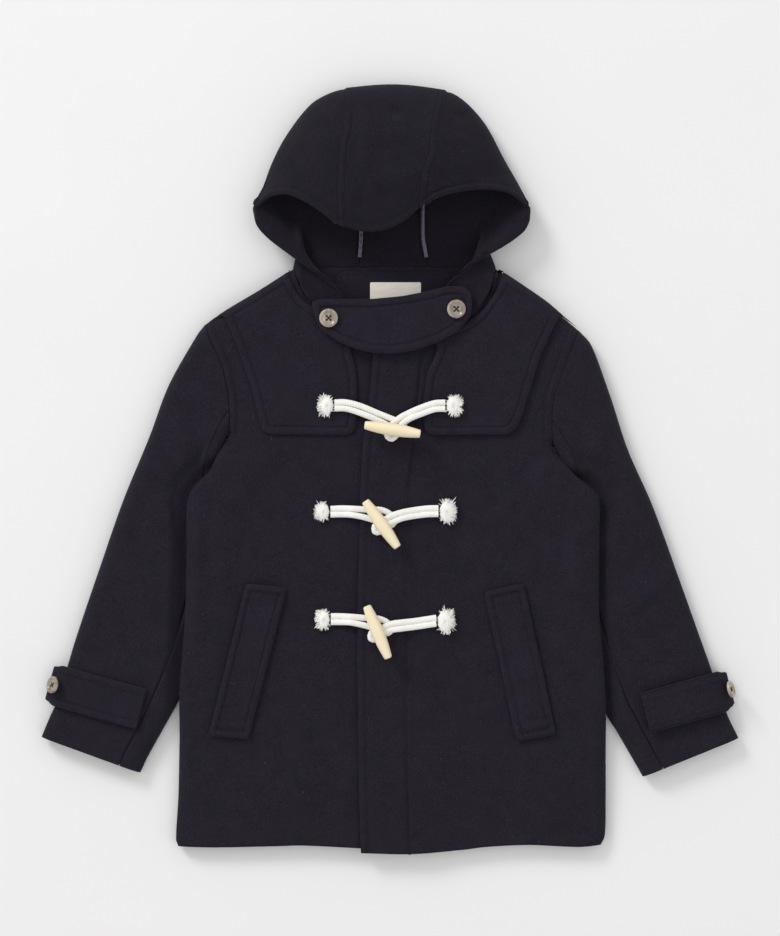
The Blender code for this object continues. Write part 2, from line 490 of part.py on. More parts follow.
def sleeve_heights(side, t, f, xy):
    """Top and underside heights of a sleeve section."""
    outer, inner, _ = sleeve_edges(side)
    width = float(np.linalg.norm(outer(t) - inner(t)))
    x, y = xy[:, 0], xy[:, 1]
    from_outer, from_inner = f * width, (1 - f) * width
    middle_outer = SHOULDER_MID
    middle_inner = SIDE_MID + (4.3 - SIDE_MID) * smooth(0.0, 0.07, t) * (1 - smooth(0.8, 1.0, t))
    high = SLEEVE_HEIGHT + (CUFF_HEIGHT - SLEEVE_HEIGHT) * smooth(0.55, 1.0, t)
    share = rounded(from_outer) * rounded(from_inner, 16)
    middle = middle_outer + (middle_inner - middle_outer) * f
    top = middle + (high - middle) * share
    joined = 1 - smooth(0.0, 0.14, t)
    at_seam = front_height("right", x, y) if side == "right" else front_height("left", x, y)
    arm = curve(ARMHOLE[side])(f)
    at_seam = front_height(side, arm[:, 0], arm[:, 1])
    top = top * (1 - joined) + at_seam * joined
    d = under_body(side, x, y)
    under = lift(side, y) - 1.1 - (2.0 if side == "left" else 0.4) * smooth(-62, -36, y)
    limit = under + 14.0 * smooth(1.5, 26.0, -d)
    on = smooth(UNDERARM_Y[side] - 21, UNDERARM_Y[side] - 36, y)
    held = np.minimum(top, limit)
    out_of_body = smooth(-205, -262, y)  # lower down, the sleeve comes out from under the body
    limit_low = np.where(d > -1.5, 1.0, 1 - smooth(1.5, 26.0, -d))
    top = top + (held - top) * on * (1 - out_of_body * (1 - limit_low))
    bottom = middle * (1 - rounded(from_outer) * rounded(from_inner, 16))
    bottom = bottom + np.where(np.isin(f, (0.0, 1.0)), 0, 0)
    joined_low = back_height(arm[:, 0], arm[:, 1])
    bottom = bottom * (1 - joined) + joined_low * joined
    return np.maximum(top, middle + 0.1 * 0), bottom, middle


SLEEVE_STATIONS = np.array([0, 0.035, 0.08, 0.13, 0.185, 0.25, 0.34, 0.46, 0.58, 0.7, 0.8, 0.9, 1.0])
NEAR_EDGE = (0.0, 1.2, 5.0, 12.5)


def sleeve_grid(side, piece):
    """Rings of one of a sleeve's two pieces, from the armhole to the cuff."""
    outer, inner, _ = sleeve_edges(side)
    gap = 1.05
    ends = {1: FRONT[side][:, 0], -1: BACK[:, 0 if side == "right" else -1]}
    seams = {}
    for way, column in ends.items():  # the armhole edges of the front and the back, as they are faceted
        edge = column[column[:, 1] > UNDERARM_Y[side] - 1.5]
        along = np.concatenate([[0], np.cumsum(np.linalg.norm(np.diff(edge, axis=0), axis=1))])
        seams[way] = (edge, along / along[-1])
    rows = []
    for t in SLEEVE_STATIONS:
        width = float(np.linalg.norm(outer(t) - inner(t)))
        near = [d / width for d in NEAR_EDGE]
        g = gap / width
        if piece == "top":
            over = [0.24, 0.4, 0.56, 0.69, SEAM_ON_TOP - g]
            below = [SEAM_BELOW - g, 0.4, 0.24]
            ring = [(f, -1) for f in below] + [(f, -1) for f in near[:0:-1]] + [(0.0, 0)] + [(f, 1) for f in near[1:]] + [(f, 1) for f in over]
        else:
            ring = [(SEAM_ON_TOP + g, 1)] + [(1 - f, 1) for f in near[:0:-1]] + [(1.0, 0)] + [(1 - f, -1) for f in near[1:]] + [(0.7, -1), (SEAM_BELOW + g, -1)]
        f = np.array([r[0] for r in ring])
        where = np.array([r[1] for r in ring])
        xy = sleeve_plan(side, t, f)
        top, bottom, middle = sleeve_heights(side, t, f, xy)
        z = np.where(where > 0, top, np.where(where < 0, bottom, middle))
        points = np.column_stack([xy, z])
        if t == 0:
            sign = -1 if side == "right" else 1
            for k, (share, way) in enumerate(ring):
                pair = []
                for one in ((way,) if way else (1, -1)):
                    edge, along = seams[one]
                    pair.append([np.interp(share, along, edge[:, i]) for i in range(3)])
                points[k] = np.mean(pair, axis=0) + [sign * (1.9 + 4.1 * math.exp(-(share / 0.12) ** 2)), -0.2, 0]
        rows.append(points)
    return np.array(rows)


SLEEVE = {}
for side in ("right", "left"):
    for piece in ("top", "under"):
        SLEEVE[side, piece] = sleeve_grid(side, piece)
        sheet(f"sleeve_{side}_{piece}", SLEEVE[side, piece], flip=(side == "right"))

# ------------------------------------------------------------------ hood
HOOD_ROWS_UNDER = np.array([0, 0.03, 0.08, 0.16, 0.27, 0.4, 0.53, 0.66, 0.78, 0.88, 0.945, 0.975, 0.992])
HOOD_ROWS_OVER = np.array([0, 0.018, 0.06, 0.13, 0.22, 0.33, 0.46, 0.6, 0.74, 0.88, 1.0])
HOOD_COLUMNS = np.array([0, 0.09, 0.2, 0.32, 0.44, 0.56, 0.68, 0.79, 0.88, 0.95, 1.0])


def hood_neck(side):
    """The hood's edge at the neck seam: under the back, round the side and along the neckline."""
    sign = -1 if side == "right" else 1
    seam = HOOD_SEAM_UNDER[side][0]
    line = NECKLINE[side]
    first = [seam, (seam[0] + sign * 22, 211.5, 3.0), (seam[0] + sign * 46, 211.5, 3.2), (line[0][0] - sign * 4.5, 211.8, 4.4),
             (line[0][0] - sign * 0.2, 211.2, SHOULDER_MID)]
    on = []
    for x, y in line[1:]:
        clear = 1.5 + 1.1 * float(smooth(165, 150, y))
        on.append((x - sign * (1.1 + 0.8 * float(smooth(170, 185, y))), y + clear, float(front_height(side, np.array([x]), np.array([y]))[0]) + CLOTH + 0.7))
    return curve(first + on)


def hood_side_grid(side):
    """A side of the hood: under from the neck up to the folded edge, and over to the brim."""
    sign = -1 if side == "right" else 1
    neck, fold = hood_neck(side), curve(HOOD_FOLD[side])
    under, lip = curve(HOOD_SEAM_UNDER[side]), curve(HOOD_LIP[side])
    over, brim = curve(HOOD_SEAM_OVER[side]), curve(HOOD_BRIM[side])
    vs = HOOD_COLUMNS
    low = coons(lambda u: neck(u), lambda u: fold(u), lambda v: under(v), lambda v: lip(v), vs, HOOD_ROWS_UNDER)
    # the under layer lies flat, turns over at the side of the neck and stands up toward the lip
    u, v = HOOD_ROWS_UNDER[:, None], vs[None, :]
    higher = smooth(0.22, 0.62, u)
    start, level = 0.36 + 0.24 * higher, 0.58 + 0.42 * higher
    rise = smooth(0, 1, (v - start) / (level - start))
    ground = under(HOOD_ROWS_UNDER)[:, None, 2]
    lip_z = lip(HOOD_ROWS_UNDER)[:, None, 2]
    upper = lip_z - (lip_z - np.minimum(lip_z, 17.0 + 3.0 * u)) * np.clip((1 - v) / 0.42, 0, 1) ** 0.8
    wall = ground + (upper - ground) * rise
    neck_z = neck(vs)[None, :, 2]
    near_neck = 1 - smooth(0.0, 0.12, u)
    flat = wall * (1 - near_neck) + neck_z * near_neck
    to_fold = 1 - np.sqrt(np.maximum(0, 1 - np.clip((u - 0.9) / 0.1, 0, 1) ** 2))
    fold_z = fold(vs)[None, :, 2]
    low[..., 2] = flat + (fold_z - flat) * to_fold
    high = coons(lambda u: fold(u), lambda u: over(np.array([1.0])) + (brim(np.array([1.0])) - over(np.array([1.0]))) * u[:, None],
                 lambda v: over(v), lambda v: brim(v), vs, HOOD_ROWS_OVER)
    grid = np.concatenate([low, high])
    grid[..., 2] = np.maximum(grid[..., 2], 0)
    grid[:, 0, 0] += sign * SEAM_GAP / 2
    return grid


def hood_centre_grid():
    """The strip over the head, from the back of the neck to the brim."""
    seams = {}
    for side in ("right", "left"):
        under, over = curve(HOOD_SEAM_UNDER[side]), curve(HOOD_SEAM_OVER[side])
        seams[side] = np.concatenate([under(HOOD_ROWS_UNDER), over(HOOD_ROWS_OVER)])
    s = np.array([0, 0.25, 0.5, 0.75, 1.0])
    a, b = seams["right"] + [SEAM_GAP / 2, 0, 0], seams["left"] - [SEAM_GAP / 2, 0, 0]
    grid = a[:, None] * (1 - s)[None, :, None] + b[:, None] * s[None, :, None]
    n = len(HOOD_ROWS_UNDER)
    bulge = np.sin(math.pi * s)[None, :]
    grid[n:, :, 2] += 2.2 * bulge * smooth(0.0, 0.3, HOOD_ROWS_OVER)[:, None]
    crown = np.concatenate([smooth(0.75, 0.992, HOOD_ROWS_UNDER), 1 - smooth(0, 0.3, HOOD_ROWS_OVER)])[:, None]
    grid[..., 1] += 4.0 * bulge * crown
    grid[..., 2] = np.maximum(grid[..., 2], 0)
    brim = curve(HOOD_CENTRE_BRIM)(s)
    ease = smooth(0.55, 1.0, HOOD_ROWS_OVER)[:, None, None]
    grid[n:, 1:-1] += ((brim - grid[-1])[None] * ease)[:, 1:-1]
    return grid


HOOD = {side: hood_side_grid(side) for side in ("right", "left")}
HOOD["centre"] = hood_centre_grid()
sheet("hood_right", HOOD["right"], even=False)
sheet("hood_left", HOOD["left"], flip=True, even=False)
sheet("hood_centre", HOOD["centre"], flip=True)

# ------------------------------------------------------------------ yokes, welts, facing and label
NECK_CLEAR = 4.2       # what lies on the panels at the neck stops this far from the hood's seam


def beside_neck(side):
    """The yoke's outline, with its neck edge led along the neckline, clear of the hood."""
    sign = -1 if side == "right" else 1
    line = curve(NECKLINE[side] + NECK_ON[side][1:2])(np.linspace(0, 0.93, 14))
    along = np.gradient(line, axis=0)
    along /= np.linalg.norm(along, axis=1)[:, None]
    away = np.column_stack([-along[:, 1], along[:, 0]]) * sign
    moved = line + away * NECK_CLEAR * (1 + 0.6 * np.clip(1 - np.linspace(0, 3, 14), 0, 1))[:, None]
    edge = [tuple(p) for p in moved if abs(p[0]) > abs(YOKE[side][1][0])][::-1]
    rest = YOKE[side][1:-1]
    return [p for p in edge] + [(moved[0][0], 240.0), (sign * 190.0, 240.0)] + rest[::-1]


for side in ("right", "left"):
    overlay("yoke_" + side, FRONT[side], beside_neck(side), CLOTH, flip=(side == "right"), gap=0.8 if side == "right" else 2.3)
    overlay("pocket_welt_" + side, FRONT[side], WELT_CORNERS[side], WELT, flip=(side == "right"), gap=1.0)
low = BACK_YOKE_Y + 8.5  # clear of the step where the back comes down to the ground
BACK_YOKE = [(-182.0, 180.0), (-171.2, 156.5), (-153.3, 109.2), (-143.8, 84.8), (-139.0, low), (136.0, low), (146.0, 84.8), (157.5, 116.6), (172.2, 149.1), (186.0, 178.0),
             (150.0, 206.4), (-140.0, 206.4)]
overlay("yoke_back", BACK, BACK_YOKE, CLOTH)


def rectangle(area, corner=0.0):
    (x0, x1), (y0, y1) = area["x"], area["y"]
    c = corner
    return [(x0, y0 + c), (x0 + c, y0), (x1 - c, y0), (x1, y0 + c), (x1, y1), (x0, y1)] if c else [(x0, y0), (x1, y0), (x1, y1), (x0, y1)]


FACING_THICK, LABEL_THICK = 1.6, 0.7
overlay("neck_facing", BACK, rectangle(FACING, 22.0), FACING_THICK, flip=True, gap=CLOTH + LAY_GAP)
overlay("neck_label", BACK, rectangle(LABEL), LABEL_THICK, flip=True, gap=CLOTH + FACING_THICK + 2 * LAY_GAP, finish="label")

# ------------------------------------------------------------------ throat tab
TAB_LOW = 24.5


def tab_height(x, y):
    return TAB_LOW + 1.3 * np.clip(1 - (np.asarray(x) / 88.0) ** 2, 0, 1) + 0 * np.asarray(y)


xs, ys = np.linspace(-90, 92, 15), np.linspace(112, 196, 6)
X, Y = np.meshgrid(xs, ys)
overlay("throat_tab", np.stack([X, Y, tab_height(X, Y)], axis=2), TAB_OUTLINE, TAB, gap=0.0)


def button(name, width, height, at, tilt=(0.0, 0.0), finish="horn"):
    """A turned button with a raised rim and a dished face; it stands on its underside."""
    r = width / 2
    outline = [(0.0, height * 0.62), (r * 0.58, height * 0.62), (r * 0.72, height), (r * 0.9, height), (r, height * 0.72),
               (r, height * 0.3), (r * 0.86, 0.0), (0.0, 0.0)]
    mesh = bpy.data.meshes.new(name)
    mesh.from_pydata([(x * 0.001, 0, z * 0.001) for x, z in outline], [(i, i + 1) for i in range(len(outline) - 1)], [])
    made = add(name, mesh, finish)
    turn = made.modifiers.new("turn", "SCREW")
    turn.steps = turn.render_steps = 24
    turn.use_merge_vertices, turn.merge_threshold = True, 0.00001
    turn.use_smooth_shade = True
    made.location = Vector(at) * 0.001
    made.rotation_euler = (0.0, math.radians(tilt[0]), math.radians(tilt[1]))
    return made


for side in ("right", "left"):
    x, y = THROAT_BUTTONS[side]
    button("throat_button_" + side, BUTTON, 3.4, (x, y, float(tab_height(x, y)) + TAB + 0.6))

# ------------------------------------------------------------------ cuff straps
STRAP_RISE = [  # share of the strap's length, height over the sleeve's top at the cuff
    (0.0, 0.9), (0.35, 0.9), (0.68, 0.9), (0.78, 0.4), (0.86, -1.4), (0.92, -4.2), (0.965, -7.6), (0.99, -10.6), (1.0, -13.4)]


def strap_grid(side):
    ends = STRAP_ENDS[side]
    a, b = np.array(ends["seam"]), np.array(ends["free"])
    along = (b - a) / np.linalg.norm(b - a)
    across = np.array([-along[1], along[0]]) * (1 if side == "left" else -1)
    level = CUFF_HEIGHT + (SLEEVE_HEIGHT - CUFF_HEIGHT) * 0.36
    rows = []
    for share, rise in STRAP_RISE:
        width = ends["width"] * (1.0 if share < 0.9 else 1.0 - 0.16 * smooth(0.9, 1.0, share))
        row = []
        for w in np.linspace(-0.5, 0.5, 5):
            x, y = a + (b - a) * (share if share < 0.98 else 0.985 + 0.015 * share) + across * w * width
            row.append((x, y, level + STRAP + rise))
        rows.append(row)
    return np.array(rows)


for side in ("right", "left"):
    sheet("cuff_strap_" + side, strap_grid(side), thick=STRAP)
button("cuff_button_right", CUFF_BUTTON, 3.4, (-352.2, -227.3, 19.0), tilt=(-50.0, -15.0))
button("cuff_button_left", CUFF_BUTTON, 3.4, (355.9, -232.2, 17.6), tilt=(66.0, 15.4))

# ------------------------------------------------------------------ toggles and cords
EDGE_X = by_y(FRONT_EDGE["left"])


def ground(x, y):
    """The top of whatever cloth is under x, y on the fronts."""
    x, y = np.asarray(x, float), np.asarray(y, float)
    left = x > EDGE_X(y) - 1.0
    z = np.where(left, front_height("left", x, y), front_height("right", x, y))
    yoke = (y > 33.0) & ((x < -33.0) | (x > 33.0)) & (np.abs(x) < 130)
    return z + np.where(yoke, CLOTH + LAY_GAP + np.where(left, 2.2, 0.7), 0)


def resting(x, y, reach=4.0):
    """The highest cloth within reach of x, y."""
    turns = np.linspace(0, 2 * math.pi, 12, endpoint=False)
    return np.max([ground(x + reach * math.cos(a), y + reach * math.sin(a)) for a in turns] + [ground(x, y)], axis=0)


CORD_HIGH = CORD_WIDTH * CORD_FLAT


def tube(name, points, radius, finish, flat=1.0):
    """A round tube along the points, flattened in height by flat."""
    data = bpy.data.curves.new(name, "CURVE")
    data.dimensions, data.bevel_depth, data.bevel_resolution, data.use_fill_caps = "3D", radius * 0.001, 2, True
    data.resolution_u = data.render_resolution_u = 1
    spline = data.splines.new("POLY")
    spline.points.add(len(points) - 1)
    for p, (x, y, z) in zip(spline.points, points):
        p.co = (x * 0.001, y * 0.001, z * 0.001 / flat, 1)
    made = add(name, data, finish)
    made.scale.z = flat
    return made


def cord_path(name):
    """A cord's middle line, resting on the cloth and over the cord it crosses."""
    flat = curve(CORDS[name])(np.linspace(0, 1, 61))
    low = resting(flat[:, 0], flat[:, 1])
    padded = np.pad(low, 3, mode="edge")
    low = np.max([padded[i:i + len(low)] for i in range(7)], axis=0)
    padded = np.pad(low, 2, mode="edge")
    low = np.mean([padded[i:i + len(low)] for i in range(5)], axis=0)
    z = low + 0.6 + CORD_HIGH / 2 + np.clip(flat[:, 2], 0, 1) * (CORD_HIGH + 0.5)
    return np.column_stack([flat[:, :2], z])[::2]


for name in CORDS:
    tube("toggle_cord_" + name, cord_path(name), CORD_WIDTH / 2, "cord", CORD_FLAT)

END_HIGH = 6.0
for name, end in CORD_ENDS.items():
    x, y = end["at"]
    bm = bmesh.new()
    bmesh.ops.create_uvsphere(bm, u_segments=14, v_segments=8, radius=1.0)
    bmesh.ops.scale(bm, vec=(end["half"][0] * 0.001, end["half"][1] * 0.001, END_HIGH * 0.0005), verts=bm.verts)
    mesh = bpy.data.meshes.new("cord_end_" + name)
    bm.to_mesh(mesh)
    bm.free()
    mesh.shade_smooth()
    made = add("cord_end_" + name, mesh, "cord")
    made.location = Vector((x, y, float(resting(np.array([x]), np.array([y]), 9.0)[0]) + 0.4 + END_HIGH / 2)) * 0.001

TOGGLE_OUTLINE = [  # share of the half length, share of the half width
    (1.0, 0.0), (1.0, 0.86), (0.97, 1.0), (0.55, 1.36), (0.0, 1.62), (-0.55, 1.36), (-0.97, 1.0), (-1.0, 0.86), (-1.0, 0.0)]
for name, t in TOGGLES.items():
    mesh = bpy.data.meshes.new("toggle_" + name)
    mesh.from_pydata([(w * TOGGLE_END * 0.0005, 0, h * TOGGLE_LENGTH * 0.0005) for h, w in TOGGLE_OUTLINE],
                     [(i, i + 1) for i in range(len(TOGGLE_OUTLINE) - 1)], [])
    made = add("toggle_" + name, mesh, "wood")
    turn = made.modifiers.new("turn", "SCREW")
    turn.steps = turn.render_steps = 20
    turn.use_merge_vertices, turn.merge_threshold, turn.use_smooth_shade = True, 0.00001, True
    x, y = t["at"]
    direction = Vector((math.cos(math.radians(t["turn"])), math.sin(math.radians(t["turn"])), 0))
    made.rotation_mode = "QUATERNION"
    made.rotation_quaternion = direction.to_track_quat("Z", "Y")
    z = float(resting(np.array([x]), np.array([y]), 10.0)[0]) + 0.6 + 2 * CORD_HIGH + 1.0 + TOGGLE_MIDDLE / 2
    made.location = Vector((x, y, z)) * 0.001

# ------------------------------------------------------------------ bound seams inside the hood
for side in ("right", "left"):
    seam = curve(HOOD_SEAM_UNDER[side])(np.linspace(0.05, 0.8, 14))
    seam[:, 2] = np.maximum(seam[:, 2], 0) + CLOTH + 0.9 + 1.3
    tube("hood_piping_" + side, seam, 2.2, "satin", 0.6)
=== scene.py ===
"""The looks of a navy wool duffle coat laid flat: cloth shells on the coat's own forms, cords, toggles and buttons. Sizes in mm, +Y toward the hood."""

import math
import random

import bmesh
import bpy
import numpy as np
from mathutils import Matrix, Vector
from mathutils.geometry import delaunay_2d_cdt


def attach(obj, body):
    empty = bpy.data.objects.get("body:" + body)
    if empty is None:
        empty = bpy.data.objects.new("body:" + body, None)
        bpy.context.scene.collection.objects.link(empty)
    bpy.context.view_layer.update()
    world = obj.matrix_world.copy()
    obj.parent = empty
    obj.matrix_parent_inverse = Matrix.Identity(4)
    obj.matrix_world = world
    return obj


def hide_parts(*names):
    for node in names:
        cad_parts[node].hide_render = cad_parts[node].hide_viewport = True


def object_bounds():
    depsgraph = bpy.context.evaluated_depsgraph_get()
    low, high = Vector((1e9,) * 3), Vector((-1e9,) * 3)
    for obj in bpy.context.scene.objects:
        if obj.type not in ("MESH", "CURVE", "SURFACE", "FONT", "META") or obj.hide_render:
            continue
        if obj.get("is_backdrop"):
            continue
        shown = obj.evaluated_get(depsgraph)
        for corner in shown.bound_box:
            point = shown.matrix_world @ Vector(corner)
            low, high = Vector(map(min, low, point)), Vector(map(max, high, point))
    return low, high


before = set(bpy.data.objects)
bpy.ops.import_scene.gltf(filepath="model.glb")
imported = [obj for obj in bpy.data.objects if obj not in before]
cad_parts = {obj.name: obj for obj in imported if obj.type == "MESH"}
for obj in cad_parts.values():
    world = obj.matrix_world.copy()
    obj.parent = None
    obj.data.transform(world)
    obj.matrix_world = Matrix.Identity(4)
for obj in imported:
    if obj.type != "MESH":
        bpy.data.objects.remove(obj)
SIZE_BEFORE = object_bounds()
random.seed(7)
RNG = np.random.default_rng(11)

CLOTH = 2.6            # melton wool
SEAM_GAP = 0.5         # between pieces sewn edge to edge
LAY_GAP = 0.4          # between a panel and what lies on it
FOLD_RADIUS = 14.0     # how far a folded edge rounds over
BODY_HEIGHT = 17.0     # top of the fronts above the surface
HEM_DROP = 4.5         # how much lower the fronts lie at the hem
SHOULDER_MID = 7.0     # height of the shoulder seam
SIDE_MID = 6.0         # height of the side seam above the back
SLEEVE_LIFT = 9.3      # the body's sides lie this high, over the sleeves
SLEEVE_TUCK = 34.0     # how far a sleeve goes under the body's side
SLEEVE_HEIGHT = 18.0
CUFF_HEIGHT = 15.0
YOKE_LIFT = CLOTH + LAY_GAP
PLACKET_LAP = 53.0     # how far the fronts lap
WELT = 3.6             # pocket welts, strap and tab are two layers, pressed
STRAP = 3.2
TAB = 3.6
CORD_WIDTH = 5.8
CORD_FLAT = 0.7        # a cord's height over its width
TOGGLE_LENGTH = 59.0
TOGGLE_MIDDLE = 12.0
TOGGLE_END = 7.4
BUTTON = 19.5          # throat buttons
CUFF_BUTTON = 18.0

# ------------------------------------------------------------------ outlines, mm (x, y)
# wearer's right is -X and wearer's left is +X
ARMHOLE = {
    "right": [(-193.2, 151.2), (-190.1, 138.6), (-181.7, 120.8), (-174.3, 100.8), (-169.1, 71.4), (-169.1, 35.7)],
    "left": [(197.4, 144.9), (193.2, 134.4), (181.7, 102.9), (172.2, 75.6), (169.6, 50.4), (171.2, 24.2)],
}
SIDE = {
    "right": [(-169.1, 35.7), (-177.5, 23.1), (-189.0, -2.1), (-202.7, -15.8), (-210.0, -27.3), (-213.2, -44.1),
              (-213.2, -96.6), (-214.7, -150.2), (-217.4, -191.1), (-220.5, -231.0), (-221.3, -285.6),
              (-222.6, -346.5), (-225.0, -390.0), (-222.6, -397.5)],
    "left": [(171.2, 24.2), (177.3, 13.8), (194.2, -7.4), (210.0, -19.9), (219.0, -31.4), (219.5, -59.9),
             (219.2, -107.1), (219.5, -156.5), (223.7, -203.7), (226.6, -257.2), (226.8, -306.6),
             (226.8, -348.6), (225.8, -386.4), (221.6, -396.0)],
}
SHOULDER = {
    "right": [(-101.9, 209.0), (-136.5, 186.9), (-163.8, 170.6), (-176.2, 162.8), (-193.2, 151.2)],
    "left": [(111.3, 209.0), (136.5, 192.6), (163.8, 173.6), (177.5, 161.8), (197.4, 144.9)],
}
# neckline of the fronts, from the shoulder to the throat, where the hood ends, and on to the front edge
NECKLINE = {
    "right": [(-101.9, 209.0), (-96.5, 195.0), (-91.4, 183.5), (-81.9, 174.0), (-63.0, 163.0), (-42.0, 155.0)],
    "left": [(111.3, 209.0), (109.6, 196.0), (101.0, 178.5), (87.2, 162.0), (70.0, 153.5), (50.0, 149.0)],
}
NECK_ON = {"right": [(-42.0, 155.0), (-12.0, 146.0), (23.0, 141.0)],
           "left": [(50.0, 149.0), (18.0, 143.0), (-16.8, 139.0)]}
FRONT_EDGE = {"right": [(23.0, 141.0), (22.0, 0.0), (21.5, -200.0), (22.0, -401.0)],
              "left": [(-16.8, 139.0), (-19.5, 96.0), (-24.5, 52.0), (-29.5, 10.0), (-32.2, -80.0), (-34.2, -180.6),
                       (-33.6, -250.0), (-32.6, -330.0), (-30.5, -404.0)]}
HEM = {"right": [(-222.6, -397.5), (-182.7, -398.4), (-116.6, -397.0), (-91.4, -396.4), (-30.5, -399.3), (22.0, -401.0)],
       "left": [(221.6, -396.0), (198.5, -397.9), (172.2, -396.9), (144.9, -395.8), (100.8, -397.9), (74.5, -401.1),
                (22.1, -405.0), (-30.5, -404.0)]}
BACK_NECK_Y = 211.0
BACK_HEM_Y = -394.0
BACK_YOKE_Y = 62.0     # lower edge of the back half of the yoke

# ------------------------------------------------------------------ sleeves, mm
SLEEVE_OUTER = {
    "right": [(-193.2, 151.2), (-201.6, 140.7), (-232.1, 88.2), (-253.1, 32.6), (-280.4, -33.6), (-302.4, -96.6),
              (-330.8, -180.6), (-349.7, -243.6), (-358.1, -262.5), (-366.4, -282.4)],
    "left": [(197.4, 144.9), (211.1, 129.2), (231.0, 77.7), (249.9, 19.9), (276.2, -39.9), (304.5, -117.6),
             (322.4, -168.0), (338.1, -212.1), (348.6, -243.6), (357.0, -264.6), (366.4, -283.5)],
}
SLEEVE_INNER = {
    "right": [(-169.1, 35.7), (-173.6, 27.5), (-177.6, 18.9), (-182.6, 6.0), (-186.0, -6.0), (-186.0, -30.0),
              (-183.5, -75.6), (-186.8, -117.6), (-193.6, -159.6), (-204.7, -201.6), (-220.5, -241.0),
              (-241.5, -279.8), (-255.2, -304.5), (-262.5, -320.2)],
    "left": [(171.2, 24.2), (175.2, 16.5), (180.4, 7.5), (186.2, -3.0), (190.4, -14.0), (190.5, -40.0),
             (189.0, -80.9), (191.6, -122.9), (199.0, -164.8), (211.0, -212.1), (226.8, -257.8), (237.3, -275.1),
             (256.2, -307.7), (265.7, -324.4)],
}
SEAM_ON_TOP = 0.79     # where the sleeve's back seam lies, as a share of its width from the outer edge
SEAM_BELOW = 0.55

# ------------------------------------------------------------------ hood, mm (x, y, z)
HOOD_SEAM_UNDER = {"right": [(-32.6, 211.5, 3.0), (-31.6, 226.0, 1.2), (-30.4, 245.0, 0), (-31.0, 302.4, 0), (-35.5, 350.0, 0),
                             (-38.2, 385.0, 0.6), (-39.6, 396.0, 3.6), (-39.9, 400.0, 11.0)],
                   "left": [(39.9, 211.5, 3.0), (37.6, 226.0, 1.2), (34.6, 245.0, 0), (36.0, 310.0, 0), (42.5, 350.0, 0),
                            (49.6, 383.0, 0.6), (52.0, 394.0, 3.6), (52.5, 398.0, 11.0)]}
HOOD_SEAM_OVER = {"right": [(-39.9, 400.0, 11.0), (-39.7, 398.0, 18.0), (-39.3, 391.0, 26.5), (-38.9, 376.0, 36.0), (-39.6, 354.0, 45.0),
                            (-44.4, 331.8, 51.0), (-46.2, 287.7, 56.0), (-45.1, 248.9, 53.0)],
                  "left": [(52.5, 398.0, 11.0), (52.2, 396.0, 18.0), (50.9, 388.5, 26.5), (47.6, 374.0, 36.0), (43.1, 354.0, 45.0),
                           (40.5, 325.3, 52.0), (32.8, 304.0, 56.0), (29.4, 268.8, 54.0)]}
HOOD_FOLD = {"right": [(-39.9, 400.0, 11.0), (-63.0, 393.8, 11.0), (-84.0, 381.2, 11.0), (-109.2, 348.6, 12.0), (-123.9, 320.2, 13.0),
                       (-134.4, 291.9, 15.0), (-141.6, 277.2, 18.5), (-143.3, 268.8, 21.0)],
             "left": [(52.5, 398.0, 11.0), (69.3, 391.7, 11.0), (86.1, 378.0, 11.0), (101.9, 358.1, 12.0), (119.7, 324.4, 13.0),
                      (134.4, 298.2, 15.0), (144.2, 278.4, 18.5), (147.0, 267.8, 21.0)]}
HOOD_BRIM = {"right": [(-143.3, 268.8, 21.0), (-134.4, 277.2, 27.0), (-123.9, 283.5, 33.0), (-108.2, 284.5, 41.0), (-90.3, 277.2, 47.0),
                       (-72.5, 265.7, 51.0), (-57.8, 254.1, 53.0), (-52.5, 251.2, 53.2)],
             "left": [(147.0, 267.8, 21.0), (137.6, 278.2, 27.0), (123.9, 286.7, 33.0), (101.9, 289.8, 40.0), (79.8, 287.7, 45.0),
                      (59.9, 283.5, 50.0), (42.0, 276.2, 53.4), (36.0, 273.0, 54.0)]}
HOOD_CENTRE_BRIM = [(-45.1, 248.9, 53.0), (-26.2, 244.7, 53.6), (-4.2, 246.8, 54.4), (13.7, 255.2, 54.6), (29.4, 268.8, 54.0)]
HOOD_LIP = {"right": [(-42.0, 155.0, 17.5), (-46.0, 172.0, 20.5), (-49.5, 182.5, 22.5), (-62.0, 192.2, 24.0), (-79.8, 204.8, 25.5), (-104.0, 222.1, 26.0),
                      (-128.1, 240.5, 25.0), (-139.7, 254.1, 23.0), (-143.3, 268.8, 21.0)],
            "left": [(50.0, 149.0, 17.5), (54.0, 172.0, 20.5), (57.7, 190.0, 22.5), (70.4, 200.6, 24.0), (92.4, 216.3, 25.5), (119.7, 232.1, 26.0),
                     (139.7, 246.8, 25.0), (146.0, 258.3, 23.0), (147.0, 267.8, 21.0)]}

# ------------------------------------------------------------------ what lies on the panels, mm
YOKE = {
    "right": [(-30.0, 240.0), (-30.0, 137.0), (-41.0, 122.9), (-36.8, 109.2), (-34.6, 92.4), (-34.6, 71.4), (-35.2, 50.0),
              (-37.0, 38.5), (-44.1, 34.6), (-126.0, 35.2), (-132.8, 38.0), (-135.5, 46.2), (-143.8, 79.8), (-153.3, 109.2),
              (-171.2, 156.5), (-182.0, 180.0), (-110.0, 240.0)],
    "left": [(40.0, 240.0), (40.0, 140.0), (49.4, 127.1), (46.2, 115.5), (37.8, 97.7), (34.9, 71.4), (34.9, 48.0),
             (37.0, 38.5), (43.1, 34.6), (123.0, 35.0), (131.0, 39.5), (138.6, 54.6), (146.0, 79.8), (157.5, 116.6),
             (172.2, 149.1), (186.0, 178.0), (120.0, 240.0)],
}
WELT_CORNERS = {"right": [(-151.2, -120.8), (-107.5, -125.4), (-148.1, -284.1), (-190.1, -280.0)],
                "left": [(98.7, -129.2), (140.2, -120.8), (174.3, -278.8), (132.8, -286.7)]}
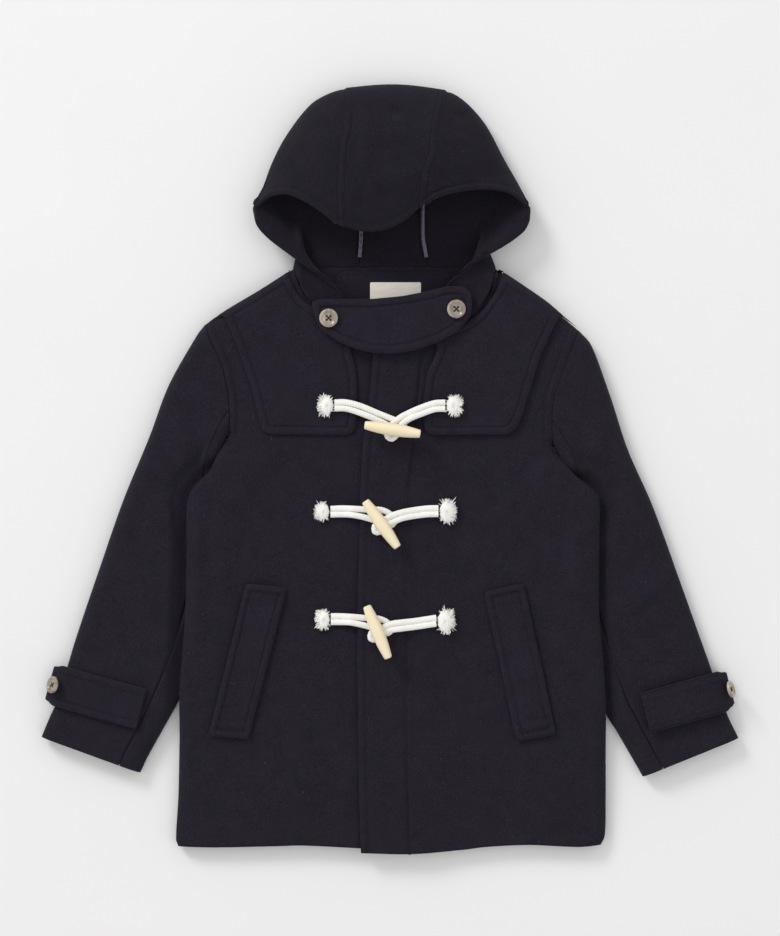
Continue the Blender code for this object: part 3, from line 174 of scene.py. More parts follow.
TAB_OUTLINE = [(-81.9, 172.3), (-78.0, 175.2), (-71.4, 176.4), (-54.6, 176.8), (-21.0, 176.4), (12.6, 179.6), (39.9, 184.8),
               (59.9, 190.1), (75.6, 190.1), (84.0, 183.8), (86.1, 171.2), (84.0, 158.6), (72.5, 143.8), (52.5, 132.3),
               (26.2, 122.9), (6.3, 119.7), (-14.7, 119.7), (-34.6, 123.9), (-54.6, 132.3), (-71.4, 143.8), (-78.8, 158.6)]
THROAT_BUTTONS = {"right": (-64.0, 156.5), "left": (69.3, 165.9)}
STRAP_ENDS = {  # along the middle of each strap, from the seam to its free end, with its width
    "right": {"seam": (-260.4, -252.6), "free": (-357.8, -225.8), "width": 43.5},
    "left": {"seam": (267.4, -256.4), "free": (354.6, -232.4), "width": 43.5},
}
CUFF_BUTTONS = {"right": (-350.0, -227.6), "left": (349.4, -233.4)}
LABEL = {"x": (-21.0, 32.6), "y": (158.0, 195.3)}
FACING = {"x": (-56.0, 64.0), "y": (132.0, 206.8)}

# toggles: middle, and the angle of the long axis from +X in degrees
TOGGLES = {"top": {"at": (2.6, 40.1), "turn": -9.0, "lift": 14.6},
           "middle": {"at": (-8.9, -58.5), "turn": -54.9, "lift": 14.6},
           "bottom": {"at": (-12.9, -170.9), "turn": -67.5, "lift": 14.6}}
# each cord loop runs from its sewn end along one strand, round its eye and back; (x, y, level), level 0 on the panel, 1 over a cord
CORDS = {
    "top_right": [(-58.2, 68.6, 0), (-47.0, 68.8, 0), (-32.0, 65.2, 0), (-12.0, 57.0, 0), (4.0, 50.6, 0), (13.5, 46.5, 0), (15.2, 42.0, 0),
                  (10.5, 39.6, 0), (0.5, 43.6, 0), (-14.0, 50.6, 0), (-34.0, 58.6, 0), (-47.0, 62.2, 0), (-58.2, 62.2, 0)],
    "top_left": [(57.6, 68.4, 0), (47.0, 67.8, 0), (34.0, 63.6, 0.2), (20.0, 57.6, 0.8), (10.0, 52.2, 1), (0.0, 43.0, 1), (-3.2, 34.4, 0.7),
                 (1.4, 30.6, 0.6), (6.2, 34.0, 0.7), (10.0, 43.0, 1), (19.0, 50.6, 0.95), (34.0, 57.0, 0.2), (47.0, 61.4, 0), (57.6, 61.8, 0)],
    "middle_right": [(-62.4, -42.8, 0), (-50.0, -42.2, 0), (-38.0, -42.6, 0), (-22.0, -43.6, 0), (-10.0, -43.8, 0), (-1.0, -47.4, 0), (4.6, -53.4, 0),
                     (2.4, -59.2, 0), (-5.0, -58.6, 0), (-18.0, -54.2, 0), (-30.0, -50.8, 0), (-42.0, -48.8, 0), (-52.0, -48.6, 0), (-62.4, -48.8, 0)],
    "middle_left": [(50.6, -42.0, 0), (40.0, -42.2, 0), (28.0, -43.6, 0.1), (14.0, -46.0, 0.7), (4.0, -49.0, 1), (-8.0, -55.4, 1), (-15.6, -60.6, 0.9),
                    (-15.6, -66.4, 0.85), (-10.4, -66.6, 0.85), (-4.0, -60.0, 1), (5.0, -55.6, 1), (14.0, -52.2, 0.8), (28.0, -49.8, 0.1), (40.0, -48.4, 0), (50.6, -48.2, 0)],
    "bottom_right": [(-62.0, -155.2, 0), (-50.0, -155.2, 0), (-38.0, -155.8, 0), (-22.0, -157.2, 0), (-12.0, -157.6, 0), (-3.0, -161.6, 0), (1.6, -167.6, 0),
                     (-2.0, -172.6, 0), (-9.0, -171.4, 0), (-21.0, -166.4, 0), (-31.0, -163.6, 0), (-42.0, -161.6, 0), (-52.0, -161.4, 0), (-62.0, -161.4, 0)],
    "bottom_left": [(48.4, -156.6, 0), (38.0, -158.2, 0), (26.0, -160.0, 0.1), (12.0, -161.4, 0.7), (2.0, -162.8, 1), (-11.0, -168.4, 1), (-19.4, -172.6, 0.9),
                    (-20.0, -178.2, 0.85), (-14.6, -179.0, 0.85), (-7.4, -173.2, 1), (2.0, -169.2, 1), (12.0, -167.8, 0.8), (26.0, -166.2, 0.1), (38.0, -164.4, 0), (48.4, -162.8, 0)],
}
# sewn and frayed cord ends: middle and half widths
CORD_ENDS = {"top_right": {"at": (-66.8, 65.4), "half": (8.0, 10.8)}, "top_left": {"at": (66.8, 65.4), "half": (8.4, 10.8)},
             "middle_right": {"at": (-70.6, -45.6), "half": (7.4, 9.6)}, "middle_left": {"at": (59.8, -45.6), "half": (8.4, 12.4)},
             "bottom_right": {"at": (-70.2, -158.6), "half": (7.4, 10.6)}, "bottom_left": {"at": (58.0, -160.2), "half": (8.8, 13.0)}}


# ------------------------------------------------------------------ finer steps between the given ones
def finer(steps, most, last=0):
    out = list(steps[:2])
    body = steps[2:len(steps) - last] if last else steps[2:]
    for s in body:
        n = max(1, math.ceil((s - out[-1]) / most))
        a = out[-1]
        out += [a + (s - a) * (k + 1) / n for k in range(n)]
    return np.array(out + list(steps[len(steps) - last:] if last else []))


def finer_both(steps, most):
    return finer(steps, most, 1)


RING_COUNTS = {}


def finer_ring(ring, most, key):
    if key not in RING_COUNTS:
        RING_COUNTS[key] = [max(1, math.ceil(abs(b[0] - a[0]) / most)) for a, b in zip(ring[:-1], ring[1:])]
    out = [ring[0]]
    for (a, b), n in zip(zip(ring[:-1], ring[1:]), RING_COUNTS[key]):
        way = a[1] or b[1]
        out += [(a[0] + (b[0] - a[0]) * k / n, way) for k in range(1, n)] + [b]
    return out



# ------------------------------------------------------------------ curves and patches
def curve(points, dense=24):
    """A smooth curve through the points: f(t) for t in 0..1 by length."""
    p = np.array(points, float)
    chord = np.linalg.norm(np.diff(p, axis=0), axis=1)
    k = np.concatenate([[0], np.cumsum(chord)])
    slope = np.empty_like(p)
    slope[1:-1] = (p[2:] - p[:-2]) / (k[2:] - k[:-2])[:, None]
    slope[0] = (p[1] - p[0]) / chord[0]
    slope[-1] = (p[-1] - p[-2]) / chord[-1]
    out = []
    for i, c in enumerate(chord):
        s = np.linspace(0, 1, dense, endpoint=False)[:, None]
        h00, h10 = 2 * s**3 - 3 * s**2 + 1, s**3 - 2 * s**2 + s
        h01, h11 = -2 * s**3 + 3 * s**2, s**3 - s**2
        out.append(h00 * p[i] + h10 * c * slope[i] + h01 * p[i + 1] + h11 * c * slope[i + 1])
    out = np.concatenate(out + [p[-1:]])
    along = np.concatenate([[0], np.cumsum(np.linalg.norm(np.diff(out, axis=0), axis=1))])
    along /= along[-1]

    def at(t):
        t = np.clip(np.atleast_1d(np.asarray(t, float)), 0, 1)
        return np.stack([np.interp(t, along, out[:, i]) for i in range(out.shape[1])], axis=1)

    return at


def chain(*runs, dense=24):
    """One curve made of smooth runs that meet at corners."""
    parts = [curve(run)(np.linspace(0, 1, dense * len(run))) for run in runs]
    p = np.concatenate([parts[0]] + [q[1:] for q in parts[1:]])
    along = np.concatenate([[0], np.cumsum(np.linalg.norm(np.diff(p, axis=0), axis=1))])
    along /= along[-1]
    return lambda t: np.stack([np.interp(np.clip(np.atleast_1d(t), 0, 1), along, p[:, i]) for i in range(p.shape[1])], axis=1)


def by_y(points):
    """x and y of a curve that runs down the coat, asked for by y."""
    p = curve(points)(np.linspace(0, 1, 400))
    order = np.argsort(p[:, 1])
    return lambda y: np.interp(y, p[order, 1], p[order, 0])


def coons(near, far, first, last, us, vs):
    """A patch between four edges: near(u) at v 0, far(u) at v 1, first(v) at u 0 and last(v) at u 1."""
    n, f, a, b = near(us), far(us), first(vs), last(vs)
    u, v = us[None, :, None], vs[:, None, None]
    corners = ((1 - u) * (1 - v) * n[0] + u * (1 - v) * n[-1] + (1 - u) * v * f[0] + u * v * f[-1])
    return (1 - v) * n[None] + v * f[None] + (1 - u) * a[:, None] + u * b[:, None] - corners


def smooth(a, b, x):
    s = np.clip((np.asarray(x, float) - a) / (b - a), 0, 1)
    return s * s * (3 - 2 * s)


def rounded(d, r=FOLD_RADIUS):
    s = np.clip(np.asarray(d, float) / r, 0, 1)
    return np.sqrt(np.maximum(0, 1 - (1 - s) ** 2))


def distance(points, x, y):
    """The distance from x, y to the curve through the points."""
    p = curve(points)(np.linspace(0, 1, 160))
    q = np.stack([np.ravel(x), np.ravel(y)], axis=1)
    a, d = p[:-1], np.diff(p, axis=0)
    t = np.clip(((q[:, None] - a[None]) * d[None]).sum(2) / (d * d).sum(1)[None], 0, 1)
    near = np.linalg.norm(q[:, None] - (a[None] + t[..., None] * d[None]), axis=2).min(1)
    return near.reshape(np.shape(x))


# ------------------------------------------------------------------ heights of the laid coat
UNDERARM_Y = {"right": 35.7, "left": 24.2}


def lift(side, y):
    """How high the body's side lies over the tucked sleeve."""
    top = UNDERARM_Y[side]
    return SLEEVE_LIFT * smooth(top - 8, top - 31, y) * (1 - smooth(-238, -292, y))


def seam_height(side, x, y):
    near_shoulder = 1 / (1 + distance(SHOULDER[side], x, y)) ** 2
    near_side = 1 / (1 + distance(SIDE[side], x, y)) ** 2
    share = near_side / (near_side + near_shoulder)
    return SHOULDER_MID * (1 - share) + (SIDE_MID + lift(side, y)) * share


def tucked(side, x, y):
    return 1 - smooth(SLEEVE_TUCK, SLEEVE_TUCK + 30, distance(SIDE[side], x, y))


def open_share(side, x, y):
    return rounded(distance(SHOULDER[side], x, y)) * rounded(distance(SIDE[side], x, y))


def front_height(side, x, y):
    """The outer surface of a front."""
    inside = BODY_HEIGHT - HEM_DROP * smooth(-290, -400, y) + 4.0 * tucked(side, x, y) * lift(side, y) / SLEEVE_LIFT
    middle = seam_height(side, x, y)
    z = middle + (inside - middle) * open_share(side, x, y)
    if side == "left":  # the lap lies on the other front
        z = z + (CLOTH + LAY_GAP + 0.4) * (1 - smooth(30, 70, x))
    return z


def back_height(x, y):
    """The outer surface of the back, which faces the ground."""
    z = np.zeros(np.shape(x))
    yoke = YOKE_LIFT * smooth(BACK_YOKE_Y - 26, BACK_YOKE_Y - 12, y)
    for side, sign in (("right", -1), ("left", 1)):
        here = (np.sign(x) == sign) | ((sign == 1) & (np.asarray(x) == 0))
        inside = np.maximum(lift(side, y) * tucked(side, x, y), yoke)
        middle = seam_height(side, x, y)
        z = np.where(here, middle + (inside - middle) * open_share(side, x, y), z)
    return z



# ------------------------------------------------------------------ body panels
STEPS_DOWN = finer([0, 0.0007, 0.008, 0.024, 0.055, 0.1, 0.15, 0.205, 0.235, 0.27, 0.31, 0.38, 0.47, 0.57, 0.68, 0.79, 0.9, 0.97, 0.985, 0.994, 1.0], 0.0062)
STEPS_IN = finer([0, 0.0012, 0.006, 0.012, 0.02, 0.026, 0.031, 0.036, 0.041, 0.046, 0.051, 0.058, 0.12, 0.22, 0.34, 0.46, 0.58, 0.72, 0.7320, 0.7366, 0.7412, 0.7458, 0.7504, 0.7550, 0.7596, 0.7642, 0.7688, 0.7734, 0.7780, 0.7826, 0.7872, 0.7918, 0.7964, 0.8010, 0.8056, 0.8102, 0.8148, 0.86, 0.945, 0.955,
                  0.961, 0.9655, 0.97, 0.98, 0.99, 0.996, 1.0], 0.0145)
UPRIGHT = 1.3          # at a folded edge the cloth first stands upright for this much


def front_grid(side):
    """The grid of a front, from the outer edge in, row by row from the shoulder to the hem."""
    tip, foot = ARMHOLE[side][0], SIDE[side][-1]
    outer_x = by_y(ARMHOLE[side] + SIDE[side][1:])
    inner = curve(FRONT_EDGE[side])
    top = chain(SHOULDER[side][::-1], NECKLINE[side] + NECK_ON[side][1:])
    hem = curve(HEM[side])

    def outer(v):
        y = tip[1] + (foot[1] - tip[1]) * v
        return np.stack([outer_x(y), y], axis=1)

    xy = coons(top, hem, outer, inner, STEPS_IN, STEPS_DOWN)
    z = front_height(side, xy[..., 0], xy[..., 1])
    return stand_up(np.concatenate([xy, z[..., None]], axis=2), side, 1)


def stand_up(grid, side, way, column=0, beside=1):
    """Makes the cloth upright at the side and shoulder seams, which it leaves by half the seam gap."""
    low = grid[:, column, 1] < UNDERARM_Y[side] - 1
    y = grid[:, column, 1]
    steep = smooth(-6, 2, y) * (1 - smooth(24, 34, y))
    tip = 1 - smooth(0, 9, y[0] - y)
    grid[:, column, 2] += way * np.where(low, SEAM_GAP * (0.9 + 1.1 * steep), 0.5 * tip)
    grid[low, beside, :2] = grid[low, column, :2]
    grid[low, beside, 2] = grid[low, column, 2] + way * UPRIGHT
    neck = SHOULDER[side][0][0]
    along = (grid[0, :, 0] < neck + 0.5) if side == "right" else (grid[0, :, 0] > neck - 0.5)
    grid[0, along, 2] += way * SEAM_GAP * 1.4
    along[[column, beside]] = False
    grid[1, along, :2] = grid[0, along, :2]
    grid[1, along, 2] = grid[0, along, 2] + way * UPRIGHT
    return grid


FRONT = {side: front_grid(side) for side in ("right", "left")}


def back_grid():
    """The grid of the back, from the wearer's right to the left."""
    tip = {s: ARMHOLE[s][0] for s in ARMHOLE}
    foot = {s: SIDE[s][-1] for s in SIDE}
    outer_x = {s: by_y(ARMHOLE[s] + SIDE[s][1:]) for s in ARMHOLE}
    top = chain(SHOULDER["right"][::-1], [(-101.9, 209.0), (-88.0, 210.2), (-60.0, BACK_NECK_Y), (4.0, BACK_NECK_Y), (66.0, BACK_NECK_Y),
                                          (95.0, 210.2), (111.3, 209.0)], SHOULDER["left"])
    hem = curve([foot["right"], (-180.0, BACK_HEM_Y), (0.0, BACK_HEM_Y), (180.0, BACK_HEM_Y), foot["left"]])

    def edge(side):
        def at(v):
            y = tip[side][1] + (foot[side][1] - tip[side][1]) * v
            return np.stack([outer_x[side](y), y], axis=1)
        return at

    us = finer_both([0, 0.0006, 0.006, 0.016, 0.032, 0.065, 0.1, 0.15, 0.25, 0.38, 0.5, 0.62, 0.75, 0.85, 0.9, 0.935, 0.968, 0.984, 0.994, 0.9994, 1.0], 0.0125)
    xy = coons(top, hem, edge("right"), edge("left"), us, STEPS_DOWN)
    z = back_height(xy[..., 0], xy[..., 1])
    grid = np.concatenate([xy, z[..., None]], axis=2)
    stand_up(grid, "right", -1)
    return stand_up(grid, "left", -1, -1, -2)


BACK = back_grid()

# ------------------------------------------------------------------ sleeves
def sleeve_edges(side):
    return curve(SLEEVE_OUTER[side]), curve(SLEEVE_INNER[side]), curve(ARMHOLE[side])


def sleeve_plan(side, t, f):
    """Where a point at share t of the length and f of the width lies."""
    outer, inner, arm = sleeve_edges(side)
    o, i = outer(t), inner(t)
    straight = o + (i - o) * f[:, None]
    o0, i0 = outer(0), inner(0)
    bow = arm(f) - (o0 + (i0 - o0) * f[:, None])
    sign = -1 if side == "right" else 1
    fade = 1 - smooth(0, 0.25, t)
    seam = SEAM_GAP * (1 - smooth(0.02, 0.12, t))
    return straight + bow * fade + np.array([[sign * seam * 1.5, -0.25 * seam]])


def under_body(side, x, y):
    """Signed distance inside the body's side edge."""
    edge = by_y(SIDE[side])
    d = distance(SIDE[side], x, y)
    inside = (x > edge(y)) if side == "right" else (x < edge(y))
    return np.where(inside & (y < UNDERARM_Y[side]), d, -d)


def sleeve_heights(side, t, f, xy):
    """Top and underside heights of a sleeve section."""
    outer, inner, _ = sleeve_edges(side)
    width = float(np.linalg.norm(outer(t) - inner(t)))
    x, y = xy[:, 0], xy[:, 1]
    from_outer, from_inner = f * width, (1 - f) * width
    middle_outer = SHOULDER_MID
    middle_inner = SIDE_MID + (4.3 - SIDE_MID) * smooth(0.0, 0.07, t) * (1 - smooth(0.8, 1.0, t))
    high = SLEEVE_HEIGHT + (CUFF_HEIGHT - SLEEVE_HEIGHT) * smooth(0.55, 1.0, t)
    share = rounded(from_outer) * rounded(from_inner, 16)
    middle = middle_outer + (middle_inner - middle_outer) * f
    top = middle + (high - middle) * share
    joined = 1 - smooth(0.0, 0.14, t)
    at_seam = front_height("right", x, y) if side == "right" else front_height("left", x, y)
    arm = curve(ARMHOLE[side])(f)
    at_seam = front_height(side, arm[:, 0], arm[:, 1])
    top = top * (1 - joined) + at_seam * joined
    d = under_body(side, x, y)
    under = lift(side, y) - 1.1 - (2.0 if side == "left" else 0.4) * smooth(-62, -36, y)
    limit = under + 14.0 * smooth(1.5, 26.0, -d)
    on = smooth(UNDERARM_Y[side] - 21, UNDERARM_Y[side] - 36, y)
    held = np.minimum(top, limit)
    out_of_body = smooth(-205, -262, y)  # lower down, the sleeve comes out from under the body
    limit_low = np.where(d > -1.5, 1.0, 1 - smooth(1.5, 26.0, -d))
    top = top + (held - top) * on * (1 - out_of_body * (1 - limit_low))
    bottom = middle * (1 - rounded(from_outer) * rounded(from_inner, 16))
    bottom = bottom + np.where(np.isin(f, (0.0, 1.0)), 0, 0)
    joined_low = back_height(arm[:, 0], arm[:, 1])
    bottom = bottom * (1 - joined) + joined_low * joined
    return np.maximum(top, middle + 0.1 * 0), bottom, middle


SLEEVE_STATIONS = finer([0, 0.004, 0.035, 0.08, 0.13, 0.185, 0.25, 0.34, 0.46, 0.58, 0.7, 0.8, 0.9, 0.955, 0.9745, 0.979, 0.984, 0.9965, 1.0], 0.0105)
NEAR_EDGE = (0.0, 1.2, 5.0, 12.5)


def sleeve_grid(side, piece):
    """Rings of one of a sleeve's two pieces, from the armhole to the cuff."""
    outer, inner, _ = sleeve_edges(side)
    gap = 0.35
    ends = {1: FRONT[side][:, 0], -1: BACK[:, 0 if side == "right" else -1]}
    seams = {}
    for way, column in ends.items():  # the armhole edges of the front and the back, as they are faceted
        edge = column[column[:, 1] > UNDERARM_Y[side] - 1.5]
        along = np.concatenate([[0], np.cumsum(np.linalg.norm(np.diff(edge, axis=0), axis=1))])
        seams[way] = (edge, along / along[-1])
    rows = []
    for t in SLEEVE_STATIONS:
        width = float(np.linalg.norm(outer(t) - inner(t)))
        near = [d / width for d in NEAR_EDGE]
        g = gap / width
        if piece == "top":
            over = [0.24, 0.4, 0.56, 0.69, SEAM_ON_TOP - g]
            below = [SEAM_BELOW - g, 0.4, 0.24]
            ring = [(f, -1) for f in below] + [(f, -1) for f in near[:0:-1]] + [(0.0, 0)] + [(f, 1) for f in near[1:]] + [(f, 1) for f in over]
        else:
            ring = [(SEAM_ON_TOP + g, 1)] + [(1 - f, 1) for f in near[:0:-1]] + [(1.0, 0)] + [(1 - f, -1) for f in near[1:]] + [(0.7, -1), (SEAM_BELOW + g, -1)]
        ring = finer_ring(ring, 3.6 / width, (side, piece))
        f = np.array([r[0] for r in ring])
        where = np.array([r[1] for r in ring])
        xy = sleeve_plan(side, t, f)
        top, bottom, middle = sleeve_heights(side, t, f, xy)
        z = np.where(where > 0, top, np.where(where < 0, bottom, middle))
        points = np.column_stack([xy, z])
        if t == 0:
            sign = -1 if side == "right" else 1
            for k, (share, way) in enumerate(ring):
                pair = []
                for one in ((way,) if way else (1, -1)):
                    edge, along = seams[one]
                    pair.append([np.interp(share, along, edge[:, i]) for i in range(3)])
                points[k] = np.mean(pair, axis=0) + [sign * (0.4 + 0.2 * math.exp(-(share / 0.12) ** 2)), -0.1, 0]
        rows.append(points)
    return np.array(rows)


SLEEVE = {(side, piece): sleeve_grid(side, piece) for side in ("right", "left") for piece in ("top", "under")}


# ------------------------------------------------------------------ hood
HOOD_ROWS_UNDER = finer([0, 0.01, 0.03, 0.08, 0.16, 0.27, 0.4, 0.53, 0.66, 0.78, 0.88, 0.945, 0.975, 0.992], 0.018)
HOOD_ROWS_OVER = finer([0, 0.008, 0.018, 0.06, 0.13, 0.22, 0.33, 0.46, 0.6, 0.74, 0.88, 0.95, 0.97, 0.985, 1.0], 0.022)
HOOD_COLUMNS = finer([0, 0.03, 0.09, 0.2, 0.32, 0.44, 0.56, 0.68, 0.79, 0.88, 0.93, 0.95, 0.97, 0.985, 1.0], 0.028)


def hood_neck(side):
    """The hood's edge at the neck seam: under the back, round the side and along the neckline."""
    sign = -1 if side == "right" else 1
    seam = HOOD_SEAM_UNDER[side][0]
    line = NECKLINE[side]
    first = [seam, (seam[0] + sign * 22, 211.5, 3.0), (seam[0] + sign * 46, 211.5, 3.2), (line[0][0] - sign * 4.5, 211.8, 4.4),
             (line[0][0] - sign * 0.2, 211.2, SHOULDER_MID)]
    on = []
    for x, y in line[1:]:
        clear = 1.5 + 1.1 * float(smooth(165, 150, y))
        on.append((x - sign * (1.1 + 0.8 * float(smooth(170, 185, y))), y + clear, float(front_height(side, np.array([x]), np.array([y]))[0]) + CLOTH + 0.7))
    return curve(first + on)


def hood_side_grid(side):
    """A side of the hood: under from the neck up to the folded edge, and over to the brim."""
    sign = -1 if side == "right" else 1
    neck, fold = hood_neck(side), curve(HOOD_FOLD[side])
    under, lip = curve(HOOD_SEAM_UNDER[side]), curve(HOOD_LIP[side])
    over, brim = curve(HOOD_SEAM_OVER[side]), curve(HOOD_BRIM[side])
    vs = HOOD_COLUMNS
    low = coons(lambda u: neck(u), lambda u: fold(u), lambda v: under(v), lambda v: lip(v), vs, HOOD_ROWS_UNDER)
    # the under layer lies flat, turns over at the side of the neck and stands up toward the lip
    u, v = HOOD_ROWS_UNDER[:, None], vs[None, :]
    higher = smooth(0.22, 0.62, u)
    start, level = 0.36 + 0.24 * higher, 0.58 + 0.42 * higher
    rise = smooth(0, 1, (v - start) / (level - start))
    ground = under(HOOD_ROWS_UNDER)[:, None, 2]
    lip_z = lip(HOOD_ROWS_UNDER)[:, None, 2]
    upper = lip_z - (lip_z - np.minimum(lip_z, 17.0 + 3.0 * u)) * np.clip((1 - v) / 0.42, 0, 1) ** 0.8
    wall = ground + (upper - ground) * rise
    neck_z = neck(vs)[None, :, 2]
    near_neck = 1 - smooth(0.0, 0.12, u)
    flat = wall * (1 - near_neck) + neck_z * near_neck
    to_fold = 1 - np.sqrt(np.maximum(0, 1 - np.clip((u - 0.9) / 0.1, 0, 1) ** 2))
    fold_z = fold(vs)[None, :, 2]
    low[..., 2] = flat + (fold_z - flat) * to_fold
    high = coons(lambda u: fold(u), lambda u: over(np.array([1.0])) + (brim(np.array([1.0])) - over(np.array([1.0]))) * u[:, None],
                 lambda v: over(v), lambda v: brim(v), vs, HOOD_ROWS_OVER)
    grid = np.concatenate([low, high])
    grid[..., 2] = np.maximum(grid[..., 2], 0)
    grid[:, 0, 0] += sign * 0.01
    return grid


def hood_centre_grid():
    """The strip over the head, from the back of the neck to the brim."""
    seams = {}
    for side in ("right", "left"):
        under, over = curve(HOOD_SEAM_UNDER[side]), curve(HOOD_SEAM_OVER[side])
        seams[side] = np.concatenate([under(HOOD_ROWS_UNDER), over(HOOD_ROWS_OVER)])
    s = finer([0, 0.02, 0.06, 0.1, 0.25, 0.5, 0.75, 0.9, 0.94, 0.98, 1.0], 0.035)
    a, b = seams["right"] + [0.01, 0, 0], seams["left"] - [0.01, 0, 0]
    grid = a[:, None] * (1 - s)[None, :, None] + b[:, None] * s[None, :, None]
    n = len(HOOD_ROWS_UNDER)
    bulge = np.sin(math.pi * s)[None, :]
    grid[n:, :, 2] += 2.2 * bulge * smooth(0.0, 0.3, HOOD_ROWS_OVER)[:, None]
    crown = np.concatenate([smooth(0.75, 0.992, HOOD_ROWS_UNDER), 1 - smooth(0, 0.3, HOOD_ROWS_OVER)])[:, None]
    grid[..., 1] += 4.0 * bulge * crown
    grid[..., 2] = np.maximum(grid[..., 2], 0)
    brim = curve(HOOD_CENTRE_BRIM)(s)
    ease = smooth(0.55, 1.0, HOOD_ROWS_OVER)[:, None, None]
    grid[n:, 1:-1] += ((brim - grid[-1])[None] * ease)[:, 1:-1]
    return grid


HOOD = {side: hood_side_grid(side) for side in ("right", "left")}
HOOD["centre"] = hood_centre_grid()

NECK_CLEAR = 4.2       # what lies on the panels at the neck stops this far from the hood's seam


def beside_neck(side):
    """The yoke's outline, with its neck edge led along the neckline, clear of the hood."""
    sign = -1 if side == "right" else 1
    line = curve(NECKLINE[side] + NECK_ON[side][1:2])(np.linspace(0, 0.93, 14))
    along = np.gradient(line, axis=0)
    along /= np.linalg.norm(along, axis=1)[:, None]
    away = np.column_stack([-along[:, 1], along[:, 0]]) * sign
    moved = line + away * NECK_CLEAR * (1 + 0.6 * np.clip(1 - np.linspace(0, 3, 14), 0, 1))[:, None]
    edge = [tuple(p) for p in moved if abs(p[0]) > abs(YOKE[side][1][0])][::-1]
    rest = YOKE[side][1:-1]
    return [p for p in edge] + [(moved[0][0], 240.0), (sign * 190.0, 240.0)] + rest[::-1]



low = BACK_YOKE_Y + 8.5  # clear of the step where the back comes down to the ground
BACK_YOKE = [(-182.0, 180.0), (-171.2, 156.5), (-153.3, 109.2), (-143.8, 84.8), (-139.0, low), (136.0, low), (146.0, 84.8), (157.5, 116.6), (172.2, 149.1), (186.0, 178.0),
             (150.0, 206.4), (-140.0, 206.4)]

TAB_LOW = 24.5


def tab_height(x, y):
    return TAB_LOW + 1.3 * np.clip(1 - (np.asarray(x) / 88.0) ** 2, 0, 1) + 0 * np.asarray(y)



STRAP_RISE = [  # share of the strap's length, height over the sleeve's top at the cuff
    (0.0, 0.9), (0.35, 0.9), (0.68, 0.9), (0.78, 0.4), (0.86, -1.4), (0.92, -4.2), (0.965, -7.6), (0.99, -10.6), (1.0, -13.4)]


def strap_grid(side):
    ends = STRAP_ENDS[side]
    a, b = np.array(ends["seam"]), np.array(ends["free"])
    along = (b - a) / np.linalg.norm(b - a)
    across = np.array([-along[1], along[0]]) * (1 if side == "left" else -1)
    level = CUFF_HEIGHT + (SLEEVE_HEIGHT - CUFF_HEIGHT) * 0.36
    rows = []
    for share, rise in STRAP_RISE:
        width = ends["width"] * (1.0 if share < 0.9 else 1.0 - 0.16 * smooth(0.9, 1.0, share))
        row = []
        for w in np.linspace(-0.5, 0.5, 5):
            x, y = a + (b - a) * (share if share < 0.98 else 0.985 + 0.015 * share) + across * w * width
            row.append((x, y, level + STRAP + rise))
        rows.append(row)
    return np.array(rows)



EDGE_X = by_y(FRONT_EDGE["left"])


def ground(x, y):
    """The top of whatever cloth is under x, y on the fronts."""
    x, y = np.asarray(x, float), np.asarray(y, float)
    left = x > EDGE_X(y) - 1.0
    z = np.where(left, front_height("left", x, y), front_height("right", x, y))
    yoke = (y > 33.0) & ((x < -33.0) | (x > 33.0)) & (np.abs(x) < 130)
    return z + np.where(yoke, CLOTH + LAY_GAP + np.where(left, 2.2, 0.7), 0)


def resting(x, y, reach=4.0):
    """The highest cloth within reach of x, y."""
    turns = np.linspace(0, 2 * math.pi, 12, endpoint=False)
    return np.max([ground(x + reach * math.cos(a), y + reach * math.sin(a)) for a in turns] + [ground(x, y)], axis=0)


CORD_HIGH = CORD_WIDTH * CORD_FLAT



def cord_path(name):
    """A cord's middle line, resting on the cloth and over the cord it crosses."""
    flat = curve(CORDS[name])(np.linspace(0, 1, 241))
    low = resting(flat[:, 0], flat[:, 1])
    padded = np.pad(low, 12, mode="edge")
    low = np.max([padded[i:i + len(low)] for i in range(25)], axis=0)
    padded = np.pad(low, 8, mode="edge")
    low = np.mean([padded[i:i + len(low)] for i in range(17)], axis=0)
    z = low + 0.6 + CORD_HIGH / 2 + np.clip(flat[:, 2], 0, 1) * (CORD_HIGH + 0.5)
    return np.column_stack([flat[:, :2], z])[::2]



TOGGLE_OUTLINE = [  # share of the half length, share of the half width
    (1.0, 0.0), (1.0, 0.86), (0.97, 1.0), (0.55, 1.36), (0.0, 1.62), (-0.55, 1.36), (-0.97, 1.0), (-1.0, 0.86), (-1.0, 0.0)]


# ------------------------------------------------------------------ soft folds of the cloth
WAVES = []
for _ in range(12):
    length, turn = RNG.uniform(42, 125), RNG.uniform(0, math.pi)
    WAVES.append((2 * math.pi / length * math.cos(turn), 2 * math.pi / length * math.sin(turn), RNG.uniform(0, 6.28), (length / 90) ** 0.8))


def undulation(x, y, z=0.0, seed=0.0):
    out = 0.0
    for a, b, c, s in WAVES:
        out = out + s * np.sin(a * x + b * y + 0.03 * z * (1 + a) + c + seed * (1 + 7 * b))
    return out / 3.4


